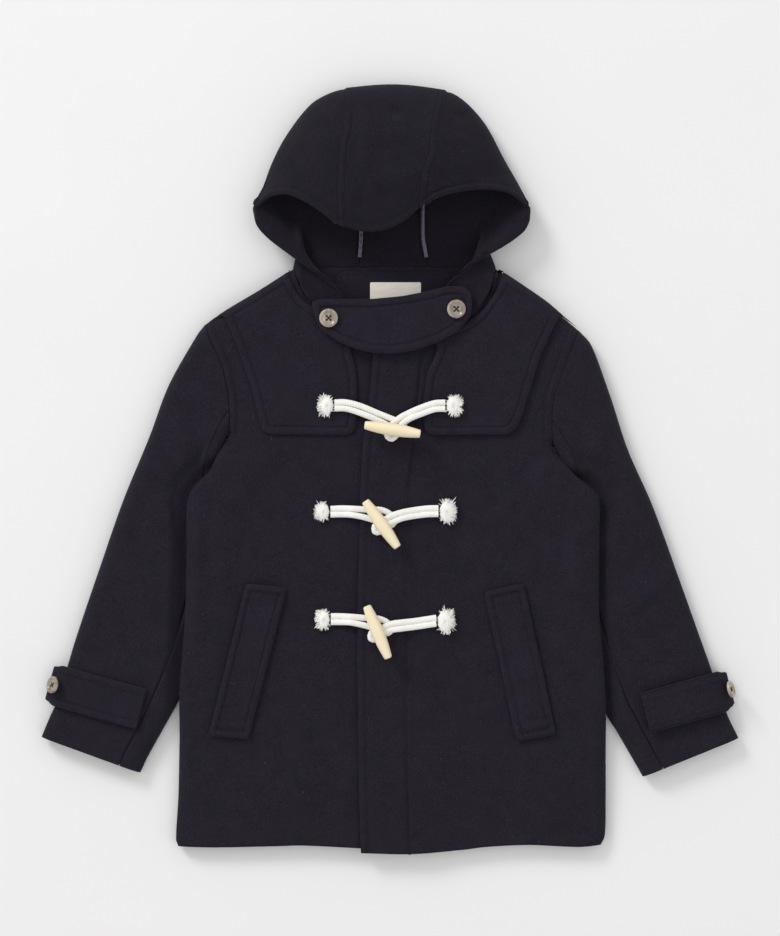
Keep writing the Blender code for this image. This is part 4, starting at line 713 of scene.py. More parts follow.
def line_near(points, x, y, dense=120):
    """Distance to a smooth line, the share of its length at the nearest point, and the side of it."""
    p = curve(points)(np.linspace(0, 1, dense))[:, :2] if len(points) > 2 else np.array(points, float)[:, :2]
    shape = np.shape(x)
    q = np.stack([np.ravel(x), np.ravel(y)], axis=1)
    best, share, way = np.full(len(q), 1e9), np.zeros(len(q)), np.zeros(len(q))
    n = len(p) - 1
    for k in range(n):
        d = p[k + 1] - p[k]
        t = np.clip(((q - p[k]) @ d) / max(d @ d, 1e-9), 0, 1)
        off = q - (p[k] + t[:, None] * d)
        dist = np.hypot(off[:, 0], off[:, 1])
        near = dist < best
        best[near], share[near] = dist[near], ((k + t) / n)[near]
        way[near] = (d[0] * off[:, 1] - d[1] * off[:, 0])[near]
    return best.reshape(shape), share.reshape(shape), np.sign(way).reshape(shape)


def crease(points, deep, wide, x, y, dense=24):
    """A soft trough (deep below 0) or ridge along a line, running out at both ends."""
    x, y = np.asarray(x, float), np.asarray(y, float)
    p = np.array(points, float)
    out = np.zeros(x.shape)
    inside = (x > p[:, 0].min() - 3 * wide) & (x < p[:, 0].max() + 3 * wide) & (y > p[:, 1].min() - 3 * wide) & (y < p[:, 1].max() + 3 * wide)
    if inside.any():
        d, t, _ = line_near(points, x[inside], y[inside], dense)
        out[inside] = deep * np.exp(-(d / wide) ** 2) * np.sin(math.pi * np.clip(t, 0.02, 0.98)) ** 0.7
    return out


FRONT_CREASES = [  # points, height, width
    ([(194, -40), (197, -90), (193, -150), (196, -190)], 1.6, 9), ([(178, -30), (181, -85), (177, -150)], -1.3, 8),
    ([(-203, -45), (-206, -100), (-203, -170)], 1.3, 9), ([(-186, -40), (-189, -100), (-187, -150)], -1.1, 8),
    ([(-165, 25), (-140, -5), (-112, -22)], -1.2, 10), ([(-172, 5), (-150, -30), (-125, -60)], 0.9, 11),
    ([(165, 18), (140, -8), (112, -20)], -1.2, 10), ([(176, 0), (158, -34), (132, -66)], 0.9, 11),
    ([(-100, -20), (-60, -26), (-44, -32)], -0.7, 9), ([(84, -14), (60, -22), (34, -30)], -0.6, 9),
    ([(-90, -110), (-66, -135), (-50, -160)], -0.8, 12), ([(70, -95), (86, -150), (80, -210)], -0.9, 15),
    ([(-120, -300), (-100, -345), (-104, -385)], 1.2, 17), ([(-74, -260), (-66, -320), (-72, -380)], -1.0, 16),
    ([(108, -305), (120, -345), (112, -388)], -1.0, 16), ([(160, -300), (170, -345), (166, -388)], 1.1, 15),
    ([(-160, -310), (-172, -350), (-170, -385)], -0.9, 12), ([(60, -260), (52, -320), (60, -370)], 0.8, 14),
    ([(-150, 140), (-125, 120), (-92, 116)], -0.8, 12), ([(152, 138), (126, 118), (96, 108)], -0.8, 12),
    ([(-110, 190), (-95, 170), (-90, 150)], -0.9, 8), ([(116, 192), (104, 168), (98, 146)], -0.9, 8),
]
BACK_CREASES = [
    ([(-150, -40), (-90, -60), (-20, -52), (60, -64), (140, -44)], 0.9, 16), ([(-60, 120), (-66, 20), (-54, -90)], 0.8, 14),
    ([(70, 110), (62, 10), (74, -110)], 0.8, 15), ([(-110, -180), (-90, -280), (-104, -380)], 0.9, 18),
    ([(20, -170), (34, -280), (26, -385)], 0.9, 18), ([(130, -160), (120, -260), (134, -380)], 0.9, 18),
]
SLEEVE_CREASES = {
    "right": [([(-178, 34), (-196, 12), (-218, -8), (-232, -34)], -3.0, 7), ([(-246, -8), (-226, -34), (-212, -70)], -1.5, 8), ([(-262, -30), (-243, -62), (-224, -104)], 1.2, 10),
              ([(-276, -66), (-256, -96), (-238, -120)], -1.6, 8), ([(-290, -104), (-262, -128), (-236, -150)], 1.2, 9),
              ([(-304, -146), (-280, -168), (-250, -176)], -1.3, 8), ([(-210, 78), (-200, 50), (-194, 24)], -1.1, 8),
              ([(-226, 60), (-214, 30), (-206, 2)], 1.0, 9), ([(-318, -205), (-290, -214), (-262, -212)], 0.8, 9)],
    "left": [([(180, 30), (198, 10), (222, -4), (240, -28)], -3.0, 7), ([(250, -4), (230, -32), (216, -66)], -1.5, 8), ([(264, -34), (247, -60), (228, -100)], 1.1, 10),
             ([(284, -74), (262, -98), (240, -112)], -1.4, 8), ([(296, -118), (270, -134), (244, -152)], 1.3, 9),
             ([(308, -152), (286, -170), (258, -184)], -1.3, 8), ([(214, 74), (204, 46), (198, 20)], -1.0, 8),
             ([(228, 56), (218, 26), (210, -2)], 1.0, 9), ([(322, -200), (296, -216), (268, -218)], 0.8, 9)],
}
HOOD_CREASES = [
    ([(-1, 378), (6, 372), (12, 366)], -1.6, 6), ([(38, 369), (46, 362), (54, 358)], -1.2, 6), ([(66, 374), (74, 368), (80, 360)], -1.2, 6),
    ([(-39, 339), (-45, 330), (-54, 322)], -1.3, 6), ([(-17, 341), (-8, 332), (-2, 322)], -1.4, 7), ([(-84, 350), (-72, 326), (-64, 300)], 1.0, 10),
    ([(-108, 325), (-94, 305), (-80, 292)], -1.0, 9), ([(92, 345), (84, 322), (72, 304)], 1.0, 10), ([(116, 318), (100, 305), (86, 300)], -1.0, 8),
    ([(-20, 300), (0, 296), (18, 302)], 0.8, 9),
]
EDGE_STITCH, STITCH_IN = 8.0, 8.4
PLACKET_LINE = [(34.3, 125.0), (29.0, 73.5), (23.5, 20.0), (19.4, -40.0), (16.5, -180.6), (17.6, -300.0), (20.5, -402.0)]
EDGE_LINE = FRONT_EDGE["left"]
ARM_LINE = {s: ARMHOLE[s] for s in ARMHOLE}


def groove(d, at, deep=0.75, wide=1.15):
    return -deep * np.exp(-((d - at) / wide) ** 2)


def front_wave(side, x, y):
    """What the folds, stitch lines and waviness add to a front's height."""
    x, y = np.asarray(x, float), np.asarray(y, float)
    out = 0.55 * undulation(x, y, 0, 0.0 if side == "right" else 1.7)
    for points, deep, wide in FRONT_CREASES:
        out = out + 1.7 * crease(points, deep, wide, x, y)
    flat = rounded(distance(SIDE[side], x, y), 22) * rounded(distance(SHOULDER[side], x, y), 22) * rounded(distance(ARMHOLE[side], x, y), 12)
    out = out * flat
    low = smooth(-385, -398, y)
    return out * (1 - 0.6 * low)


def front_stitches(side, x, y):
    d, _, _ = line_near(ARM_LINE[side], x, y, 60)
    out = groove(d, 8.5, 1.0, 1.3) + 1.0 * np.exp(-((d - 4.2) / 2.8) ** 2)
    if side == "left":
        e, _, _ = line_near(EDGE_LINE, x, y, 60)
        out = out + groove(e, STITCH_IN, 1.2, 1.2) + 0.8 * np.exp(-((e - 4.0) / 2.6) ** 2)
        p, _, way = line_near(PLACKET_LINE, x, y, 60)
        out = out + groove(p, 0, 1.7, 1.4) + 0.8 * smooth(0, 6, p) * np.where(x < 30, (x < curve_x(PLACKET_LINE, y)), 0)
    return out


def curve_x(points, y):
    return by_y(points)(y)


def full_front(side, x, y):
    x, y = np.asarray(x, float), np.asarray(y, float)
    return front_height(side, x, y) + front_wave(side, x, y)


# ------------------------------------------------------------------ materials
def material(name):
    made = bpy.data.materials.new(name)
    made.use_nodes = True
    tree = made.node_tree
    tree.nodes.clear()
    out = tree.nodes.new("ShaderNodeOutputMaterial")
    shader = tree.nodes.new("ShaderNodeBsdfPrincipled")
    tree.links.new(shader.outputs[0], out.inputs[0])
    return made, tree, shader


def node(tree, kind, **values):
    made = tree.nodes.new(kind)
    for k, v in values.items():
        setattr(made, k, v)
    return made


def noise(tree, coords, scale, detail=3.0, rough=0.55, stretch=None):
    made = node(tree, "ShaderNodeTexNoise")
    made.inputs["Scale"].default_value, made.inputs["Detail"].default_value, made.inputs["Roughness"].default_value = scale, detail, rough
    if stretch:
        mapping = node(tree, "ShaderNodeMapping")
        mapping.inputs["Scale"].default_value = stretch
        tree.links.new(coords, mapping.inputs[0])
        coords = mapping.outputs[0]
    tree.links.new(coords, made.inputs["Vector"])
    return made.outputs[0]


def ramp(tree, value, stops):
    made = node(tree, "ShaderNodeValToRGB")
    bar = made.color_ramp
    while len(bar.elements) < len(stops):
        bar.elements.new(0.5)
    for e, (p, c) in zip(bar.elements, stops):
        e.position, e.color = p, (*c, 1) if len(c) == 3 else c
    tree.links.new(value, made.inputs[0])
    return made.outputs[0]


def mix(tree, share, a, b):
    made = node(tree, "ShaderNodeMix", data_type="RGBA")
    for socket, value in ((made.inputs[0], share), (made.inputs[6], a), (made.inputs[7], b)):
        if hasattr(value, "links"):
            tree.links.new(value, socket)
        else:
            socket.default_value = value if isinstance(value, float) else (*value, 1)
    return made.outputs[2]


def maths(tree, op, a, b):
    made = node(tree, "ShaderNodeMath", operation=op)
    for socket, value in ((made.inputs[0], a), (made.inputs[1], b)):
        if hasattr(value, "links"):
            tree.links.new(value, socket)
        else:
            socket.default_value = value
    return made.outputs[0]


def bump(tree, shader, height, deep, strength=1.0):
    made = node(tree, "ShaderNodeBump")
    made.inputs["Strength"].default_value, made.inputs["Distance"].default_value = strength, deep
    tree.links.new(height, made.inputs["Height"])
    tree.links.new(made.outputs[0], shader.inputs["Normal"])


MELTON_BASE = (0.0150, 0.0129, 0.0200)


def melton(name, base=MELTON_BASE, shift=0.0):
    made, tree, shader = material(name)
    coords = node(tree, "ShaderNodeTexCoord").outputs["Object"]
    if shift:
        mapping = node(tree, "ShaderNodeMapping")
        mapping.inputs["Location"].default_value = (shift, shift * 0.7, shift * 1.3)
        tree.links.new(coords, mapping.inputs[0])
        coords = mapping.outputs[0]
    mottle = noise(tree, coords, 55, 4, 0.6)
    nap = noise(tree, coords, 780, 3, 0.7)
    twill = noise(tree, coords, 420, 2, 0.6, (1.0, 0.45, 1.0))
    lint = noise(tree, coords, 520, 1, 0.5, (1.0, 0.32, 1.0))
    dark = tuple(v * 0.72 for v in base)
    light = tuple(v * 1.34 for v in base)
    colour = mix(tree, ramp(tree, mottle, [(0.32, (0, 0, 0)), (0.68, (1, 1, 1))]), dark, light)
    fibre = mix(tree, ramp(tree, nap, [(0.36, (0, 0, 0)), (0.64, (1, 1, 1))]), tuple(v * 0.48 for v in base), tuple(v * 1.62 for v in base))
    colour = mix(tree, 0.68, colour, fibre)
    specks = ramp(tree, lint, [(0.735, (0, 0, 0)), (0.79, (1, 1, 1))])
    colour = mix(tree, maths(tree, "MULTIPLY", specks, 0.30), colour, (0.075, 0.07, 0.08))
    tree.links.new(colour, shader.inputs["Base Color"])
    shader.inputs["Roughness"].default_value = 0.95
    shader.inputs["Specular IOR Level"].default_value = 0.12
    shader.inputs["Sheen Weight"].default_value = 0.10
    shader.inputs["Sheen Roughness"].default_value = 0.55
    shader.inputs["Sheen Tint"].default_value = (0.42, 0.38, 0.5, 1)
    height = maths(tree, "ADD", maths(tree, "MULTIPLY", nap, 0.5), maths(tree, "ADD", maths(tree, "MULTIPLY", twill, 0.5), maths(tree, "MULTIPLY", mottle, 0.6)))
    bump(tree, shader, height, 0.0011, 0.75)
    return made


def plain_with_grain(name, dark, light, scale, rough, deep, stretch=None, sheen=0.0, spec=0.4, attribute=None):
    made, tree, shader = material(name)
    if attribute:
        coords = node(tree, "ShaderNodeAttribute", attribute_name=attribute).outputs["Vector"]
    else:
        coords = node(tree, "ShaderNodeTexCoord").outputs["Object"]
    grain = noise(tree, coords, scale, 4, 0.6, stretch)
    broad = noise(tree, coords, scale * 0.17, 2, 0.5, stretch)
    both = maths(tree, "ADD", maths(tree, "MULTIPLY", grain, 0.55), maths(tree, "MULTIPLY", broad, 0.45))
    tree.links.new(ramp(tree, both, [(0.36, dark), (0.62, light)]), shader.inputs["Base Color"])
    shader.inputs["Roughness"].default_value = rough
    shader.inputs["Specular IOR Level"].default_value = spec
    shader.inputs["Sheen Weight"].default_value = sheen
    bump(tree, shader, both, deep, 0.6)
    return made


MELTON = melton("melton_wool")
MELTON_OVER = melton("melton_wool_over", tuple(v * 1.03 for v in MELTON_BASE), 0.31)
# the hood is the same melton at 0.8 of its colour: painted shade for the shade that falls in the hood
MELTON_HOOD_PAINTED_SHADE = melton("melton_wool_hood_painted_shade", tuple(v * 0.8 for v in MELTON_BASE), 0.77)
THREAD = plain_with_grain("sewing_thread", (0.005, 0.0045, 0.007), (0.014, 0.012, 0.018), 2600, 0.6, 0.0001, spec=0.3)
SATIN = plain_with_grain("satin_binding", (0.035, 0.028, 0.060), (0.075, 0.062, 0.115), 900, 0.22, 0.0002, (1, 0.25, 1), spec=0.9)
CORD = plain_with_grain("cotton_cord", (0.90, 0.885, 0.84), (1.0, 0.99, 0.95), 1500, 0.9, 0.0003, sheen=0.3, spec=0.15)
WOOD = plain_with_grain("pale_wood", (0.95, 0.78, 0.50), (1.0, 0.92, 0.70), 160, 0.42, 0.0002, (1.0, 1.0, 0.10), spec=0.45, attribute="local")
HORN = plain_with_grain("horn", (0.10, 0.075, 0.055), (0.50, 0.42, 0.34), 150, 0.22, 0.0001, (1.0, 0.45, 1.0), spec=0.8, attribute="local")
LABEL_CLOTH = plain_with_grain("woven_label", (0.78, 0.74, 0.65), (0.90, 0.87, 0.79), 1900, 0.6, 0.0003, (0.25, 1, 1), sheen=0.2, spec=0.3)

COAT = bpy.data.collections.new("coat")
bpy.context.scene.collection.children.link(COAT)


# ------------------------------------------------------------------ meshes
def build(name, points, faces, finish, smooth_shade=True):
    """An object from points in mm."""
    mesh = bpy.data.meshes.new(name)
    mesh.from_pydata([tuple(p) for p in np.asarray(points) * 0.001], [], faces)
    mesh.materials.append(finish)
    if smooth_shade:
        mesh.shade_smooth()
    mesh.update()
    made = bpy.data.objects.new(name, mesh)
    COAT.objects.link(made)
    return made


def grid_faces(rows, columns, flip, wrap=False, start=0):
    out = []
    for i in range(rows - 1):
        for j in range(columns - (0 if wrap else 1)):
            k = (j + 1) % columns
            f = [start + i * columns + j, start + i * columns + k, start + (i + 1) * columns + k, start + (i + 1) * columns + j]
            out.append(tuple(f[::-1] if flip else f))
    return out


def normals(grid, flip):
    """Outward directions of a grid of points."""
    a = np.gradient(grid, axis=1)
    b = np.gradient(grid, axis=0)
    n = np.cross(a, b)
    n /= np.maximum(np.linalg.norm(n, axis=2), 1e-9)[..., None]
    return -n if flip else n


def freeze(made):
    """Applies the modifiers."""
    bpy.context.view_layer.update()
    mesh = bpy.data.meshes.new_from_object(made.evaluated_get(bpy.context.evaluated_depsgraph_get()))
    made.modifiers.clear()
    made.data = mesh
    mesh.shade_smooth()
    return made


def shell(name, grid, finish, thick=CLOTH, flip=False, even=True):
    made = build(name + "_cloth", grid.reshape(-1, 3), grid_faces(grid.shape[0], grid.shape[1], flip), finish)
    solid = made.modifiers.new("cloth", "SOLIDIFY")
    solid.thickness, solid.offset, solid.use_even_offset, solid.use_rim = thick * 0.001, -1.0, False, True
    return freeze(made)


def flat_area(grid):
    a = np.linalg.norm(np.cross(grid[1:, :-1] - grid[:-1, :-1], grid[:-1, 1:] - grid[:-1, :-1]), axis=2) / 2
    b = np.linalg.norm(np.cross(grid[1:, :-1] - grid[1:, 1:], grid[:-1, 1:] - grid[1:, 1:]), axis=2) / 2
    return float((a.sum() + b.sum()) * 1e-6)


FLAT = {}


def as_sheet(made, nodes, area, width, length, slot="melton", rests=(), pieces_on=()):
    """Parents a piece of cloth to the root, hides the parts it stands for and notes its flat size; width and length in
    m are those of the cut.
    """
    grow = max(1.0, area / (0.99 * width * length))
    width, length = width * grow ** 0.5, length * grow ** 0.5
    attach(made, "root")
    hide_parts(*nodes)
    FLAT[made.name] = (round(width, 3), round(length, 3), round(area, 4))
    return made


def span(grid):
    w = np.linalg.norm(np.diff(grid, axis=1), axis=2).sum(1).max() * 0.001
    l = np.linalg.norm(np.diff(grid, axis=0), axis=2).sum(0).max() * 0.001
    return float(w), float(l)


def edge_fade(grid, wide=10.0):
    """0 at a grid's edges, 1 inside, by length along it."""
    down = np.concatenate([np.zeros((1, grid.shape[1])), np.cumsum(np.linalg.norm(np.diff(grid, axis=0), axis=2), axis=0)])
    across = np.concatenate([np.zeros((grid.shape[0], 1)), np.cumsum(np.linalg.norm(np.diff(grid, axis=1), axis=2), axis=1)], axis=1)
    d = np.minimum(np.minimum(down, down[-1:] - down), np.minimum(across, across[:, -1:] - across))
    return smooth(0, wide, d)


THREADS = {}


def stitches(piece, path, height, pitch=3.6, share=0.66, radius=0.34):
    """Lays thread stitches along a path of (x, y) on height(x, y)."""
    p = np.asarray(path, float)
    if p.shape[1] == 2:
        z = height(p[:, 0], p[:, 1])
        p = np.column_stack([p, z])
    along = np.concatenate([[0], np.cumsum(np.linalg.norm(np.diff(p, axis=0), axis=1))])
    at = lambda s: np.array([np.interp(s, along, p[:, i]) for i in range(3)])
    n = int(along[-1] / pitch)
    points, faces = THREADS.setdefault(piece, ([], []))
    for k in range(n):
        s0 = (k + 0.5 - share / 2 + 0.06 * math.sin(3.1 * k)) * pitch
        a, b = at(s0), at(s0 + share * pitch)
        d = (b - a) / max(np.linalg.norm(b - a), 1e-6)
        side = np.cross(d, [0, 0, 1.0])
        side /= max(np.linalg.norm(side), 1e-6)
        up = np.cross(side, d)
        start = len(points)
        for t, r, drop in ((0.0, 0.35, -0.5), (0.2, 1.0, 0.05), (0.5, 1.1, 0.12), (0.8, 1.0, 0.05), (1.0, 0.35, -0.5)):
            c = a + (b - a) * t + up * drop * radius * 2
            for q in range(5):
                w = 2 * math.pi * q / 5
                points.append(c + side * math.cos(w) * radius * r + up * math.sin(w) * radius * r)
        for i in range(4):
            for q in range(5):
                faces.append((start + i * 5 + q, start + i * 5 + (q + 1) % 5, start + (i + 1) * 5 + (q + 1) % 5, start + (i + 1) * 5 + q))
        faces.append(tuple(start + q for q in range(4, -1, -1)))
        faces.append(tuple(start + 20 + q for q in range(5)))


def resample(points, step, closed=True):
    p = np.array(points, float)
    if closed:
        p = np.concatenate([p, p[:1]])
    along = np.concatenate([[0], np.cumsum(np.linalg.norm(np.diff(p, axis=0), axis=1))])
    n = max(8, int(along[-1] / step))
    s = np.linspace(0, along[-1], n, endpoint=not closed)
    return np.stack([np.interp(s, along, p[:, i]) for i in range(2)], axis=1)


def round_corners(points, times=2, share=0.22, keep_under=6.0):
    """Cuts corners off a closed outline twice, so that they come out round."""
    p = np.array(points, float)
    for _ in range(times):
        out = []
        for a, b in zip(p, np.roll(p, -1, axis=0)):
            length = np.linalg.norm(b - a)
            s = min(share, keep_under / max(length, 1e-6))
            out += [a + (b - a) * s, b - (b - a) * s]
        p = np.array(out)
    return p


def area_of(p):
    return 0.5 * float(np.sum(p[:, 0] * np.roll(p[:, 1], -1) - np.roll(p[:, 0], -1) * p[:, 1]))


def inset(outline, d):
    """An outline's points moved in by d, without those that come too near another edge."""
    p = outline
    t = np.roll(p, -1, axis=0) - np.roll(p, 1, axis=0)
    t /= np.maximum(np.linalg.norm(t, axis=1), 1e-9)[:, None]
    n = np.column_stack([-t[:, 1], t[:, 0]])
    if area_of(p) < 0:
        n = -n
    q = p + n * d
    dist, _, _ = line_near([tuple(v) for v in np.concatenate([p, p[:1]])], q[:, 0], q[:, 1], 10) if False else (outline_distance(p, q), 0, 0)
    return q[dist > 0.96 * d]


def outline_distance(outline, q):
    a = outline
    d = np.roll(a, -1, axis=0) - a
    best = np.full(len(q), 1e9)
    for k in range(len(a)):
        t = np.clip(((q - a[k]) @ d[k]) / max(d[k] @ d[k], 1e-12), 0, 1)
        off = q - (a[k] + t[:, None] * d[k])
        best = np.minimum(best, np.hypot(off[:, 0], off[:, 1]))
    return best


def inside(outline, q):
    out = np.zeros(len(q), bool)
    for (x0, y0), (x1, y1) in zip(outline, np.roll(outline, -1, axis=0)):
        if y0 == y1:
            continue
        hit = ((y0 > q[:, 1]) != (y1 > q[:, 1])) & (q[:, 0] < (x1 - x0) * (q[:, 1] - y0) / (y1 - y0) + x0)
        out ^= hit
    return out


RINGS = (0.35, 0.9, 1.7, 3.0, 4.8, 6.4, 7.3, 8.0, 8.7, 9.6, 11.0)


def cut_piece(name, outline, height, thick, gap, finish, down=False, extra=None, rings=RINGS, fill=3.4, stitch=8.0, puff=0.8, deep=1.0, step=2.2):
    """A flat cut piece with rounded edges, laid at height(x, y) and gap away from it along its slope; down for one that faces the ground."""
    outline = resample(outline, step)
    if area_of(outline) < 0:
        outline = outline[::-1]
    parts = [outline] + [inset(outline, d) for d in rings if d < 40]
    x0, y0 = outline.min(0)
    x1, y1 = outline.max(0)
    gx, gy = np.meshgrid(np.arange(x0, x1, fill), np.arange(y0, y1, fill * 0.87))
    gx[1::2] += fill / 2
    q = np.column_stack([gx.ravel(), gy.ravel()])
    q = q[inside(outline, q)]
    q = q[outline_distance(outline, q) > rings[-1] + 1.2]
    parts.append(q)
    xy = np.concatenate(parts)
    n = len(outline)
    verts, _, faces, *_ = delaunay_2d_cdt([Vector(p) for p in xy], [], [list(range(n))], 1, 1e-5)
    xy = np.array([tuple(v) for v in verts])
    d = outline_distance(outline, xy)
    d[d < 0.02] = 0
    round_ = np.sqrt(np.maximum(0, 1 - (1 - np.clip(d / 1.5, 0, 1)) ** 2))
    h = height(xy[:, 0], xy[:, 1])
    e = 0.6
    sx = np.clip((height(xy[:, 0] + e, xy[:, 1]) - height(xy[:, 0] - e, xy[:, 1])) / (2 * e), -1.6, 1.6)
    sy = np.clip((height(xy[:, 0], xy[:, 1] + e) - height(xy[:, 0], xy[:, 1] - e)) / (2 * e), -1.6, 1.6)
    normal = np.column_stack([-sx, -sy, np.ones(len(xy))])
    normal /= np.linalg.norm(normal, axis=1)[:, None]
    if down:
        normal = -normal
    over = puff * smooth(1.0, 4.0, d) * (1 - smooth(5.5, stitch, d)) - deep * np.exp(-((d - stitch) / 1.0) ** 2)
    if extra is not None:
        over = over + extra(xy[:, 0], xy[:, 1])
    base = np.column_stack([xy, h])
    top = base + normal * (gap + thick * (0.5 + 0.5 * round_) + over * (d > 0))[:, None]
    low = base + normal * (gap + thick * (0.5 - 0.5 * round_))[:, None]
    rim = d == 0
    index = np.where(rim, np.arange(len(xy)), len(xy) + np.cumsum(~rim) - 1)
    points = np.concatenate([top, low[~rim]])
    tris = []
    for f in faces:
        a = xy[list(f)]
        turn = area_of(a)
        if abs(turn) < 1e-6:
            continue
        f = list(f) if (turn > 0) != down else list(f)[::-1]
        tris.append(tuple(f))
        tris.append(tuple(int(index[i]) for i in f[::-1]))
    tris = [t for t in tris if len(set(t)) > 2]
    made = build(name + "_cloth", points, tris, finish)
    area = abs(area_of(outline)) * 1e-6
    tops = lambda x, y: height(x, y) + gap + thick - deep * 0.75
    return made, area, (x1 - x0) * 0.001, (y1 - y0) * 0.001, outline, tops


def thread_ring(piece, outline, height, d=8.0, keep=None):
    q = inset(outline, d)
    if keep is not None:
        q = q[keep(q)]
    if len(q) < 4:
        return
    breaks = np.where(np.linalg.norm(np.diff(q, axis=0), axis=1) > 9)[0] + 1
    for run in np.split(q, breaks):
        if len(run) > 3:
            stitches(piece, run, height)


# ------------------------------------------------------------------ fronts and back
for side in ("right", "left"):
    g = FRONT[side].copy()
    fade = edge_fade(g, 4.0)
    x, y = g[..., 0], g[..., 1]
    g[..., 2] += front_wave(side, x, y) * smooth(0, 12, distance(SIDE[side], x, y)) * smooth(0, 10, distance(SHOULDER[side], x, y))
    g[..., 2] += front_stitches(side, x, y) * fade
    made = shell("front_" + side, g, MELTON, flip=(side == "right"))
    as_sheet(made, ["front_" + side], flat_area(g), *span(g), rests=["back"])

b = BACK.copy()
fade = edge_fade(b, 26.0)
dents = sum(crease(p, deep, wide, b[..., 0], b[..., 1]) for p, deep, wide in BACK_CREASES)
b[..., 2] += np.maximum(0, (dents + 0.35 + 0.35 * undulation(b[..., 0], b[..., 1], 0, 4.0))) * fade
made = shell("back", b, MELTON)
as_sheet(made, ["back"], flat_area(b), *span(b))

# ------------------------------------------------------------------ sleeves
for side in ("right", "left"):
    for piece in ("top", "under"):
        g = SLEEVE[side, piece].copy()
        n = normals(g, side == "right")
        fade = edge_fade(g, 14.0)
        x, y, z = g[..., 0], g[..., 1], g[..., 2]
        outward = smooth(9, 14, z)
        clear = 1 - smooth(-34, -20, y) * (1 - smooth(0, 14, y)) if piece == "under" else 1.0
        marks = 1.6 * sum(crease(p, deep, wide, x, y) for p, deep, wide in SLEEVE_CREASES[side]) * outward
        below = sum(crease([(a * 0.97, c - 14) for a, c in p], min(deep, 0) * 0.7, wide, x, y) for p, deep, wide in SLEEVE_CREASES[side]) * (1 - smooth(1, 3, z))
        tucked_in = smooth(0, 16, -under_body(side, x.ravel(), y.ravel())).reshape(x.shape)
        move = (marks * tucked_in + 0.4 * undulation(x, y, z, 2.3) * outward * tucked_in + below) * fade * clear
        cuff = np.concatenate([[0], np.cumsum(np.linalg.norm(np.diff(g[:, g.shape[1] // 2], axis=0), axis=1))])
        cuff = (cuff[-1] - cuff)[:, None] * np.ones(g.shape[1])[None]
        move = move + (groove(cuff, 13.0, 0.7, 1.2) + 0.25 * np.exp(-((cuff - 6) / 4.0) ** 2)) * outward
        g += n * move[..., None]
        g[..., 2] = np.maximum(g[..., 2], 0)
        made = shell("sleeve_" + side + "_" + piece, g, MELTON, flip=(side == "right"))
        as_sheet(made, ["sleeve_" + side + "_" + piece], flat_area(g), *span(g), rests=["front_" + side])

# ------------------------------------------------------------------ hood
HOOD_TOPS = {}
for name, flip, even in (("right", False, False), ("left", True, False), ("centre", True, True)):
    g = HOOD[name].copy()
    n = normals(g, flip)
    fade = edge_fade(g, 12.0)
    x, y, z = g[..., 0], g[..., 1], g[..., 2]
    upper = smooth(14, 24, z)
    marks = 2.1 * sum(crease(p, deep, wide * 1.25, x, y) for p, deep, wide in HOOD_CREASES) * upper
    rows = np.concatenate([np.zeros((1, g.shape[1])), np.cumsum(np.linalg.norm(np.diff(g, axis=0), axis=2), axis=0)])
    to_brim = rows[-1:] - rows
    across = np.concatenate([np.zeros((g.shape[0], 1)), np.cumsum(np.linalg.norm(np.diff(g, axis=1), axis=2), axis=1)], axis=1)
    if name == "centre":
        side_d = np.minimum(across, across[:, -1:] - across)
        ridge = 0.0
    else:
        side_d = across
        ridge = 1.1 * np.exp(-((side_d - 4.0) / 2.6) ** 2) + groove(side_d, 7.8, 0.8, 1.3)
        lip = across[:, -1:] - across
        ridge = ridge + 1.1 * np.exp(-((lip - 4.0) / 2.8) ** 2) + groove(lip, 8.0, 1.0, 1.4)
    on_top = smooth(20, 32, z)
    move = (marks + 0.6 * undulation(x, y, z, 6.1) * upper) * fade
    move = move + (1.2 * np.exp(-((to_brim - 4.0) / 2.8) ** 2) + groove(to_brim, 8.0, 1.1, 1.4) + groove(to_brim, 38.0, 0.7, 1.4)) * on_top
    move = move + ridge * smooth(0, 2, side_d)
    g += n * move[..., None]
    g[..., 2] = np.maximum(g[..., 2], 0)
    HOOD_TOPS[name] = g
    # the hood's cloth carries painted shade: its melton is darkened to 0.8
    made = shell("hood_" + name, g, MELTON_HOOD_PAINTED_SHADE, flip=flip, even=even)
    as_sheet(made, ["hood_" + name], flat_area(g), *span(g), rests=["back"])

# ------------------------------------------------------------------ yokes, patches and welts
PATCH = {"right": (-82.0, -34.6, 45.7, 92.4), "left": (35.0, 81.9, 46.2, 90.3)}


def patch_marks(side):
    x0, x1, y0, y1 = PATCH[side]

    def at(x, y):
        within = (x > x0 - 3) & (x < x1 + 3) & (y > y0 - 3) & (y < y1 + 3)
        d = np.minimum(np.minimum(np.abs(x - x0), np.abs(x - x1)) + 50 * ((y < y0) | (y > y1)),
                       np.minimum(np.abs(y - y0), np.abs(y - y1)) + 50 * ((x < x0) | (x > x1)))
        return np.where(within, -0.35 * np.exp(-(d / 1.3) ** 2), 0)
    return at


def yoke_outline(side):
    """The yoke inside the shoulder seam and the armhole."""
    p = beside_neck(side)
    p = [q for q in p if q[1] < 225]
    sign = -1 if side == "right" else 1
    seam = curve(SHOULDER[side])(np.linspace(0.02, 0.985, 26)) + [-sign * 0.9, -1.5]
    arm = [q for q in YOKE[side] if q[1] < 180 and abs(q[0]) > 120][::-1]
    low = [q for q in YOKE[side] if q[1] < 139 and abs(q[0]) < 130]
    neck = [q for q in p if q[1] > 139 and abs(q[0]) < 118]
    arm_line = sorted([q for q in YOKE[side] if abs(q[0]) > 130 and q[1] < 160], key=lambda q: -q[1])
    below = [q for q in YOKE[side][2:-2] if not (abs(q[0]) > 130 and q[1] < 160)]
    top_arm = (sign * 176.5, 158.5)
    neck = sorted(neck, key=lambda q: q[1])
    return [tuple(q) for q in seam] + [top_arm] + arm_line + below[::-1] + neck


